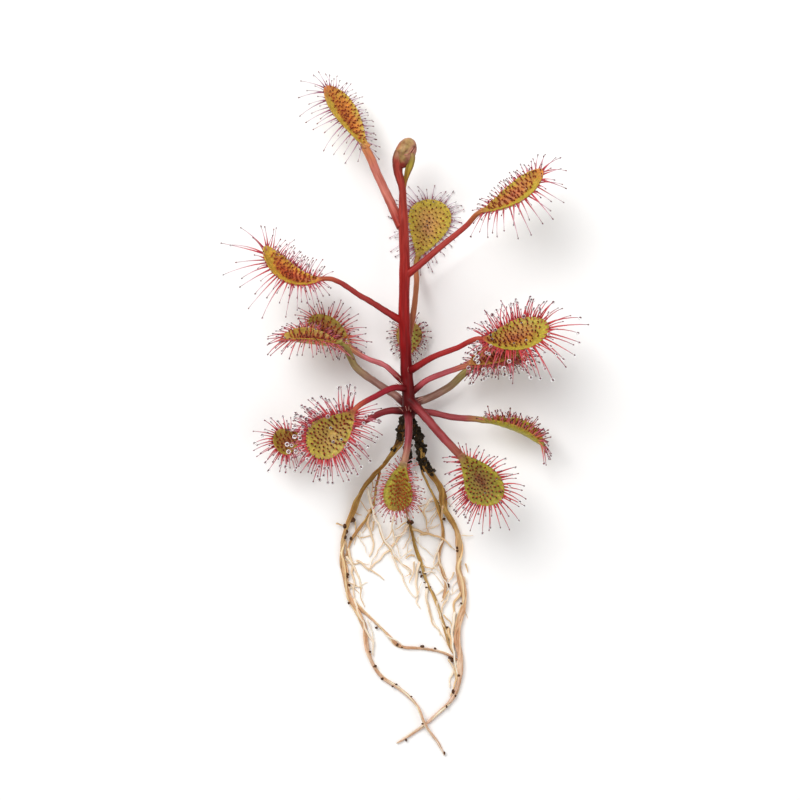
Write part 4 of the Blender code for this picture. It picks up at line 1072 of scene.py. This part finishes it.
# Main roots
# Wiry roots, up to 1.2 mm thick, that grow out of the foot of the stem. They were washed, and stay stained
# brown where the soil was. Each has thinner strands wound loosely round it, parting from it here and there.
# X, Y, Z and radius of knots along each root
ROOTS = {
    "root_left": (
        (0.9, 0.4, 6.9, 0.4), (0.7, -1.2, 6.6, 0.42), (0.4, -2.2, 6.1, 0.45), (0, -4.8, 5, 0.5),
        (-1.7, -7.1, 4.3, 0.46), (-3.3, -8.9, 3.6, 0.46), (-5.2, -11.4, 2.8, 0.46), (-9, -17.8, 1.2, 0.46),
        (-10.9, -23.6, 0.6, 0.46), (-11, -29.6, 0.5, 0.45), (-10.1, -34.9, 0.5, 0.45),
        (-7.3, -40.5, 0.5, 0.42), (-6.2, -47.1, 0.5, 0.4), (-3.4, -50.9, 0.5, 0.38),
        (1.3, -54.2, 0.6, 0.36), (4.6, -59.1, 1.4, 0.34), (6.5, -62.5, 0.7, 0.3), (8.4, -66, 0.3, 0.22),
    ),
    "root_left_strand": (
        (-4.2, -10.6, 2.8, 0.24), (-4.6, -12.6, 2.1, 0.26), (-5.2, -16.3, 1.4, 0.28), (-8, -22, 0.6, 0.28),
        (-9.9, -25.4, 0.4, 0.25), (-10.8, -27.4, 0.4, 0.22),
    ),
    "root_link": (
        (-9.3, -35.8, 0.4, 0.24), (-8.3, -37, 0.4, 0.28), (-6.3, -38.9, 0.4, 0.3), (-2.6, -42.6, 0.4, 0.3),
        (0, -44.8, 0.4, 0.3), (4.1, -45.2, 0.4, 0.3), (7.6, -45.9, 0.4, 0.28), (10, -46.9, 0.4, 0.25),
        (11.2, -47.6, 0.4, 0.2),
    ),
    "root_right": (
        (2, 0.4, 6.9, 0.4), (2.3, -1.2, 6.6, 0.42), (2.8, -2.2, 6.1, 0.5), (3.7, -4.6, 5.2, 0.58),
        (3.9, -7.1, 4.5, 0.6), (4.4, -9.3, 3.8, 0.58), (6.9, -13.1, 2.5, 0.58), (8.7, -18.4, 1.3, 0.58),
        (11.1, -23.4, 0.8, 0.58), (11.2, -29.4, 0.65, 0.58), (12.2, -36.4, 0.65, 0.56),
        (10.9, -42.6, 0.6, 0.54), (11.5, -48.8, 0.55, 0.5), (10.3, -54.2, 0.5, 0.44),
        (6.2, -58.7, 0.4, 0.34), (1.7, -62.1, 0.35, 0.28), (-0.8, -63.6, 0.3, 0.22),
    ),
    "root_right_strand": (
        (3.9, -9, 3, 0.24), (3.9, -10.6, 2.2, 0.28), (4.8, -12.8, 1.7, 0.3), (7.1, -17.8, 1, 0.32),
        (8.3, -23.3, 0.4, 0.32), (7.3, -27.3, 0.4, 0.32), (9, -33.4, 0.4, 0.3), (8.3, -35.6, 0.4, 0.28),
    ),
    "root_centre": (
        (1.5, 0.2, 6.3, 0.3), (1.5, -1.2, 5.85, 0.34), (1.5, -2.2, 5.3, 0.36), (1.3, -5.8, 3.6, 0.38),
        (1.2, -12.6, 2, 0.36), (1.2, -18.4, 1, 0.34), (2.5, -24.6, 0.5, 0.34), (4.3, -30.4, 0.4, 0.32),
        (7, -36.8, 0.4, 0.32), (8.6, -42.2, 0.4, 0.3), (9.8, -45.6, 0.4, 0.24), (10.3, -46.6, 0.4, 0.18),
    ),
}
ROOT_TONES = ((-66, "#FADCC6"), (-50, "#F8D6BA"), (-36, "#F4CEA8"), (-26, "#E8C496"), (-20, "#D0AC68"),
              (-13, "#BC9A54"), (-5, "#A0803E"), (-2, "#5C4020"), (0, "#48301A"))
CENTRE_TONES = ((-45, "#E2C490"), (-30, "#C4A25C"), (-20, "#A88844"), (-12, "#94743A"), (-5, "#5E4622"),
                (0, "#3A2416"))
ROOT_STEP = 0.3
ROOT_AROUND = 14
ROOT_BUMPS = 0.05
CORE = 0.8  # share of a root's radius that its core takes
STRANDS = {"root_left": 3, "root_left_strand": 2, "root_link": 2, "root_right": 4, "root_right_strand": 2,
           "root_centre": 2}
STRAND_AROUND = 9
STRAND_RADIUS = 0.42  # as the offset, a share of the root's radius
STRAND_OFFSET = 0.66
TURNS = 0.22  # radians that a strand goes round the core in each millimetre
STRAND_LIGHTNESS = (1.25, 0.8, 1.05, 0.92)

# Root bark, washed and drying, so it is dull, with fibres along it and darker earth left between them. The
# fibres are drawn 0.2 mm wide, a little coarser than the real ones, so that they show.
root_bark = plant_skin("washed_root_bark", pitch=0.22, shade="#CCA88A", relief=0.12, roughness=0.5)
root_lines = {}
for seed, (name, knots) in enumerate(ROOTS.items()):
    knots = np.array(knots)
    length = np.linalg.norm(np.diff(knots[:, :3], axis=0), axis=1).sum()
    count = int(length / ROOT_STEP)
    path = smooth_path(knots, count)
    path[:, 0] += wavy(path[:, :3], pitch=7.0, seed=41 + seed) * 0.3
    bark_tones = CENTRE_TONES if name == "root_centre" else ROOT_TONES
    large_knobs = wavy(path[:, :3], pitch=2.4, seed=61 + seed)
    small_knobs = wavy(path[:, :3], pitch=0.9, seed=81 + seed)
    knobs = (0.16 * large_knobs + 0.1 * small_knobs)[:, None]
    girth = path[:, 3, None] * CORE * (1 + knobs) * rounded_ends(count, share=0.02)[:, None]
    rings = tube_rings(path[:, :3], girth, (0, 0, 1), ROOT_AROUND)
    rings += wavy(rings, pitch=0.7, seed=91 + seed)[..., None] * ROOT_BUMPS
    rings[..., 2] = np.maximum(rings[..., 2], 0.03)
    drift = rings[..., 1] + 3.0 * wavy(rings, pitch=3.5, seed=71 + seed)
    tones = blend_tones(bark_tones, drift) * 0.85
    root = skin(f"bark_{name}", rings[None], tones, root_bark, tube_grain(path, girth, ROOT_AROUND)[None])
    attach(root, "root")
    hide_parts(name)
    root_lines[name] = path

    _, side, up = path_directions(path[:, :3], (0, 0, 1))
    strand_rings, strand_tones, strand_grain = [], [], []
    for strand in range(STRANDS[name]):
        wander = wavy(path[:, :3], pitch=6.0, seed=141 + 10 * seed + strand)
        loose = np.clip(wavy(path[:, :3], pitch=9.0, seed=201 + seed), 0, 1)
        apart = STRAND_OFFSET + 0.25 * wander + 0.5 * loose
        apart = np.where(path[:, 1] > -50, apart, STRAND_OFFSET * 0.8) * path[:, 3]
        turn = math.tau * strand / STRANDS[name] + np.linspace(0, length * TURNS, count) + 0.9 * wander
        line = path[:, :3] + side * (apart * np.cos(turn))[:, None] + up * (apart * np.sin(turn))[:, None]
        size = path[:, 3] * STRAND_RADIUS * (1 + 0.25 * wavy(line, pitch=3.0, seed=171 + 10 * seed + strand))
        size = size[:, None] * rounded_ends(count, share=0.02)[:, None]
        line[:, 2] = np.maximum(line[:, 2], size[:, 0] + 0.02)
        rings = tube_rings(line, size, (0, 0, 1), STRAND_AROUND)
        drift = rings[..., 1] + 4.0 * wavy(rings, pitch=5.0, seed=191 + strand)
        strand_rings.append(rings)
        strand_tones.append(blend_tones(bark_tones, drift) * STRAND_LIGHTNESS[strand])
        strand_grain.append(tube_grain(line, size, STRAND_AROUND))
    tones = np.clip(np.stack(strand_tones), 0, 0.95)
    strands = skin(f"strands_{name}", np.stack(strand_rings), tones, root_bark, np.stack(strand_grain))
    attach(strands, "root")
root_places = np.vstack(list(root_lines.values()))

# Side roots and root hairs
# Threads 0.1 to 0.6 mm thick that branch off the main roots, cross each other and lie on the surface. They
# are cream, paler than the roots that they leave.
SIDE_ROOTS = (
    ((-6.4, -14, 2.3), (-5.3, -18.4, 2.2), (-2.3, -25.4, 1.3), (-0.1, -28.4, 0.6), (1.9, -31, 0.3)),
    ((-10.8, -27.5, 0.5), (-8.4, -30.8, 0.3), (-7.6, -33.8, 0.3)),
    ((-6.1, -18, 1.2), (-6.3, -21.5, 0.5), (-5.4, -25.4, 0.3), (-6, -27.6, 0.3)),
    ((11.9, -34.2, 0.6), (10.3, -37, 0.3), (10.1, -39.6, 0.3)),
    ((11.3, -47.6, 0.6), (9.7, -50.2, 0.3), (9.2, -52.8, 0.3)),
    ((6.3, -15.8, 1.3), (4.5, -19.2, 0.5), (5.1, -21.4, 0.3)),
    ((1.7, -21, 0.6), (-0.8, -24.6, 0.3), (-3.6, -27.4, 0.3), (-6.4, -30, 0.3)),
    ((1.9, -22, 0.6), (5, -23, 0.9), (8.2, -24.2, 1.3), (9.7, -25.7, 0.9)),
    ((5, -32.4, 0.4), (5.4, -37.6, 0.3), (6.7, -40.6, 0.3), (7.4, -42.6, 0.3)),
    ((3.6, -28.4, 0.4), (2.9, -34.2, 0.3), (3.6, -37.6, 0.3)),
    ((-10.2, -25.6, 0.5), (-9.6, -28.4, 0.4), (-9.2, -32.7, 0.4), (-9.4, -35.6, 0.4)),
    ((9.2, -41, 0.4), (9.9, -44.5, 0.9), (10.5, -48, 0.8), (10.5, -51.6, 0.6), (9.6, -54.6, 0.4)),
    ((10.3, -38, 0.6), (10, -41.6, 0.9), (10.3, -46.4, 1), (10.9, -50.4, 0.8)),
    ((-9.3, -35.4, 0.6), (-8, -38.6, 0.8), (-6.9, -41.4, 0.8), (-5.6, -43.6, 0.6), (-5.3, -46.6, 0.5)),
)
SIDE_RADIUS = 0.25
THREADS = (
    ((-5.2, -18.3), (-4.8, -20.1), (-3.4, -23.9), (-1.9, -26.8), (-0.4, -28.3), (1.1, -29.4), (1.8, -30.4),
     (0.7, -31.3)),
    ((-1.9, -26.8), (-0.8, -29), (0.3, -31.3), (2.6, -35), (3.7, -33.1), (4, -32.2)),
    ((-1.5, -22), (-2.6, -23.5), (-3.7, -25.3), (-5.2, -27.9), (-6.3, -30.5)),
    ((-1.3, -19.3), (-1.7, -22), (-1.2, -23.9), (-0.6, -25.7), (0, -27.9)),
    ((1.3, -20.7), (0, -21.5), (-1.2, -22.2)),
    ((1.1, -22.4), (0, -23.2), (-1.2, -23.9)),
    ((2.4, -26.1), (1.2, -26.7), (0, -27.8)),
    ((2.6, -27), (1.7, -27.3), (0.9, -27.8)),
    ((-7.8, -22.4), (-7.6, -24.2), (-6.6, -26.8)),
    ((-5.2, -20.7), (-5.4, -21.5), (-5.6, -22.6)),
    ((-12.6, -21.2), (-11.8, -21.3), (-10.8, -21.2)),
    ((-8.7, -28.3), (-6.3, -29.8), (-3.2, -31.8)),
    ((-11.6, -26.6), (-11.5, -27.9), (-11.6, -29)),
    ((-8, -33.1), (-7.6, -35), (-7.1, -37.3)),
    ((3.5, -17.8), (4.6, -20.1), (5.3, -22.9)),
    ((3.5, -23.3), (5.7, -23.2), (8.1, -24.2), (10.5, -26.1)),
    ((3.3, -23.7), (3.8, -25.3), (5.9, -27.2), (6.6, -27.8)),
    ((8.1, -24.2), (7.2, -26.3), (6.5, -27.6), (6.4, -28.3), (7.3, -30.5), (9, -33.1), (9.2, -33.9)),
    ((9.2, -33.9), (8.5, -35), (7.7, -36.1)),
    ((9.2, -34.2), (8.5, -36.8), (7.7, -38.3)),
    ((7.3, -26.3), (7.3, -28.3), (8.3, -30.9), (9.2, -32)),
    ((7.9, -17.4), (7.9, -20.1), (8.3, -23.5)),
    ((4, -29), (5.2, -29.4), (6.6, -29.8)),
    ((4.4, -30.2), (5.4, -30.4), (6.6, -30.7)),
    ((2.7, -28.3), (2.4, -30.4), (1.6, -32.7)),
    ((12.5, -29), (12.8, -29.8), (12.9, -30.5)),
    ((12.2, -31.3), (12.6, -31.9), (12.9, -32.6)),
    ((11.6, -23.3), (12.8, -23.2), (14, -23.3)),
    ((5.1, -34.6), (5.3, -36.8), (5.9, -38.7), (6.2, -39.7)),
    ((6.8, -35.7), (7.3, -37.7), (7.5, -39.6)),
    ((10.3, -30.7), (9.7, -31.7), (9.2, -32.7)),
    ((-6.5, -39.5), (-5.5, -42.1), (-5.2, -44.3), (-5.3, -46.4)),
    ((5.1, -35.8), (5.5, -38.4), (6.5, -40.9), (8.2, -43.1), (9.6, -45)),
    ((6.9, -35.8), (7.7, -39.3), (8.8, -41.9), (10, -44.3)),
    ((8.6, -35.8), (8.3, -37.2), (7.9, -38.4)),
    ((8.2, -38.4), (9.2, -39.9), (10, -41.5)),
    ((9.2, -47.2), (10, -49), (10.4, -51.6)),
    ((-2.8, -42.7), (-2, -42.9), (-0.8, -43.9), (0.2, -45)),
)
SWAY = 0.25
THREAD_RADII = (0.12, 0.2)
SIDE_STATIONS = 40
THREAD_STATIONS = 28
HAIR_STATIONS = 14
HAIR_STRETCH = (-37, -12)  # between these places along Y, hairs leave the roots
HAIR_COUNT = 44
HAIR_RADII = (0.08, 0.12)
HAIR_LENGTHS = (2.0, 6.0)
THREAD_TONES = ("#FFF6EA", "#FBEEDC", "#F4DFC4", "#EACDA4")


def nearest_root(places):
    """Place and radius of the main roots at the point that lies nearest to each place in X and Y."""
    gaps = np.linalg.norm(places[:, None, :2] - root_places[None, :, :2], axis=-1)
    return root_places[np.argmin(gaps, axis=1)]


# Young root skin, which grows clean of soil: smooth, moist and cream, with a faint tan shade.
root_thread = plant_skin("pale_root_thread", pitch=0.3, shade="#F0E0CC", relief=0.03, roughness=0.5)


def threads(paths, radii, around, tones, name):
    """Wavy tubes along paths, held on or over the surface, that taper: radius times 1.2 - 0.7 t."""
    stations = paths.shape[1]
    t = np.linspace(0, 1, stations)
    sway_x = wavy(paths, pitch=3.1, seed=51)
    sway_y = wavy(paths, pitch=2.7, seed=52)
    paths = paths + np.stack((sway_x, sway_y, 0 * sway_x), axis=-1) * SWAY
    girth = np.asarray(radii)[:, None] * (1.2 - 0.7 * t) * rounded_ends(stations, share=0.03)
    paths[..., 2] = np.maximum(paths[..., 2], girth + 0.02)
    rings = tube_rings(paths, girth[..., None], (0, 0, 1), around)
    grain = np.stack([tube_grain(path, size[:, None], around) for path, size in zip(paths, girth)])
    piece = skin(name, rings, tones[:, None, None], root_thread, grain)
    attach(piece, "root")


draw = np.random.default_rng(57)
side_paths = np.stack([smooth_path(knots, SIDE_STATIONS) for knots in SIDE_ROOTS])
side_tones = np.array([colour(THREAD_TONES[i % 4]) for i in range(len(SIDE_ROOTS))])
threads(side_paths, np.full(len(SIDE_ROOTS), SIDE_RADIUS), 8, side_tones, "side_roots")

thread_paths = []
for places in THREADS:
    places = np.array(places)
    t = np.linspace(0, 1, len(places))
    start_height = nearest_root(places[:1])[0, 2]
    heights = 0.25 + start_height * (1 - t) ** 2 + draw.uniform(0, 0.5, len(places))
    thread_paths.append(smooth_path(np.column_stack((places, heights)), THREAD_STATIONS))
thread_tones = np.array([colour(code) for code in draw.choice(THREAD_TONES, len(THREADS))])
threads(np.stack(thread_paths), draw.uniform(*THREAD_RADII, len(THREADS)), 6, thread_tones, "root_threads")

rooted = root_places[(root_places[:, 1] < HAIR_STRETCH[1]) & (root_places[:, 1] > HAIR_STRETCH[0])]
starts = rooted[draw.integers(len(rooted), size=HAIR_COUNT)][:, :3]
heading = np.radians(-90 - 4 * (starts[:, 0] - 2) + draw.normal(0, 32, HAIR_COUNT))
bend = draw.normal(0, 0.5, HAIR_COUNT)
reach = draw.uniform(*HAIR_LENGTHS, HAIR_COUNT)
t = np.linspace(0, 1, HAIR_STATIONS)
turning = heading[:, None] + bend[:, None] * t
steps = reach[:, None] / HAIR_STATIONS
hair_paths = np.stack((
    starts[:, :1] + np.cumsum(np.cos(turning) * steps, axis=1),
    starts[:, 1:2] + np.cumsum(np.sin(turning) * steps, axis=1),
    0.2 + (starts[:, 2:] - 0.2) * (1 - t) ** 2 + 0 * turning,
), axis=-1)
hair_tones = np.array([colour(code) for code in draw.choice(THREAD_TONES, HAIR_COUNT)])
threads(hair_paths, draw.uniform(*HAIR_RADII, HAIR_COUNT), 5, hair_tones, "root_hairs")

# Soil
# Crumbs of wet black peat that cling to the roots. The most and the largest hold on to the foot of the stem
# and the top of the roots. Smaller ones sit further down.
# X, Y and radius of the crumbs that stand out
CRUMBS = (
    (0.4, -2.9, 0.6), (-0.2, -4.4, 0.65), (-1.4, -6.5, 0.55), (3, -3.2, 0.6), (3.3, -4.8, 0.7),
    (4.2, -6, 0.7), (3.4, -7.3, 0.75), (4.5, -8.4, 0.7), (4.3, -10, 0.6), (1.2, -6.4, 0.55),
    (1.5, -11.4, 0.5), (2.2, -20.8, 0.5), (-8.8, -20.3, 0.6), (-9.7, -28.5, 0.3), (-5.5, -30.7, 0.3),
    (-6.1, -31.3, 0.25), (-6.5, -30.7, 0.25), (-7.7, -32.7, 0.3), (-8.1, -31.2, 0.25), (0.9, -31.6, 0.3),
    (1.5, -30.7, 0.3), (-10.3, -36.4, 0.35), (-8.9, -36, 0.3), (1.4, -20.7, 0.45), (3.9, -31.1, 0.3),
    (4.6, -30.7, 0.3), (4.5, -32.4, 0.3), (4.9, -33.4, 0.3), (5.7, -33.3, 0.25), (8.5, -20.2, 0.35),
    (9.6, -25.7, 0.3), (10.1, -26.3, 0.3), (11.4, -27.4, 0.3), (11, -36.4, 0.3), (10.1, -32.8, 0.3),
    (9.2, -33.2, 0.3), (-10.9, -21.5, 0.5), (-10.4, -22.6, 0.45), (-9.7, -23.9, 0.45), (-10.8, -23.7, 0.4),
    (-6, -45.8, 0.35), (-5, -48.6, 0.5), (-3.6, -51, 0.3), (-1.6, -52.5, 0.3), (-0.8, -52.1, 0.3),
    (2, -54.4, 0.3), (4.2, -59.6, 0.3), (8.4, -65.4, 0.3), (1, -62.9, 0.3), (8.8, -56.4, 0.35),
    (10.5, -54.3, 0.35), (9.9, -53.5, 0.35), (11.2, -50.4, 0.3), (9.5, -47, 0.45), (9.9, -47.8, 0.5),
    (9.8, -42.9, 0.3), (8.9, -41.1, 0.3), (6.6, -45.2, 0.35), (4.2, -44.8, 0.35), (-0.7, -44.5, 0.3),
    (0.2, -45, 0.3), (-4.8, -41.2, 0.3),
)
CRUMB_SHARE = 0.8
CRUMB_AROUND = 9
CRUMB_LATITUDES = np.radians((-75, -45, -15, 15, 45, 75))
# Stretches of root under a crust of soil: from which Y to which, and how many crumbs
CRUST = {"root_right": (-1, -11.5, 80), "root_left": (-0.5, -4.5, 26), "root_centre": (-1, -11.5, 40)}
CRUST_RADII = (0.2, 0.6)
PEAT_TONES = ((-18, "#5A3822"), (-13, "#2A1E10"), (-10, "#1A140A"))
GRIT = 0.22  # width of its fine pattern
PATCH = 0.7

# Wet peat, fibres and grit pressed together: nearly black, rough, with a shine where water stands on it.
wet_peat, tree = new_material("wet_black_peat")
place = add_node(tree, "ShaderNodeTexCoord").outputs["Object"]
grit = add_node(tree, "ShaderNodeTexNoise", {"Vector": place, "Scale": 1 / (GRIT * MM), "Detail": 5.0})
patches = add_node(tree, "ShaderNodeTexNoise", {"Vector": place, "Scale": 1 / (PATCH * MM), "Detail": 2.0})
brown = add_node(tree, "ShaderNodeMapRange", {
    "Value": grit.outputs["Fac"],
    "From Min": 0.45,
    "From Max": 0.75,
})
earth = add_node(tree, "ShaderNodeMix", {"Factor": brown.outputs["Result"]}, data_type="RGBA")
tone = add_node(tree, "ShaderNodeAttribute", attribute_name="tone").outputs["Color"]
tree.links.new(tone, earth.inputs[6])
earth.inputs[7].default_value = colour("#48341C")
shine = add_node(tree, "ShaderNodeMapRange", {
    "Value": patches.outputs["Fac"],
    "From Min": 0.4,
    "From Max": 0.6,
    "To Min": 0.35,
    "To Max": 0.9,
})
relief = add_node(tree, "ShaderNodeBump", {
    "Height": grit.outputs["Fac"],
    "Strength": 0.8,
    "Distance": 0.1 * MM,
})
finish_material(tree, add_node(tree, "ShaderNodeBsdfPrincipled", {
    "Base Color": earth.outputs[2],
    "Roughness": shine.outputs["Result"],
    "Specular IOR Level": 0.2,
    "Normal": relief.outputs["Normal"],
}))

draw = np.random.default_rng(83)
crumbs = np.array(CRUMBS)
held = nearest_root(crumbs)
aside = np.clip(crumbs[:, :2] - held[:, :2], -0.5, 0.5)
height = np.maximum(held[:, 2] + held[:, 3] * 0.6, crumbs[:, 2] * 0.6)
centres = [np.column_stack((held[:, :2] + aside, height))]
sizes = [crumbs[:, 2] * CRUMB_SHARE]
for name, (top, bottom, count) in CRUST.items():
    path = root_lines[name]
    path = path[(path[:, 1] < top) & (path[:, 1] > bottom)]
    chosen = path[draw.integers(len(path), size=count)]
    turn = draw.uniform(0, math.tau, count)
    away = chosen[:, 3] * draw.uniform(0.6, 1.5, count)
    centres.append(chosen[:, :3] + np.column_stack((np.cos(turn) * away, 0 * turn, np.sin(turn) * away)))
    sizes.append(draw.uniform(*CRUST_RADII, count))
centres, sizes = np.vstack(centres), np.concatenate(sizes)
rings = balls(centres, sizes, CRUMB_LATITUDES, CRUMB_AROUND)
spokes = (rings - centres[:, None, None]) * draw.uniform(0.7, 1.35, (len(sizes), 1, 1, 3))
rings = centres[:, None, None] + spokes * (1 + 0.5 * wavy(rings, pitch=0.55, seed=84)[..., None])
rings[..., 2] = np.maximum(rings[..., 2], 0.02)
peat = skin("peat_crumbs", rings, blend_tones(PEAT_TONES, centres[:, 1])[:, None, None], wet_peat)
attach(peat, "root")
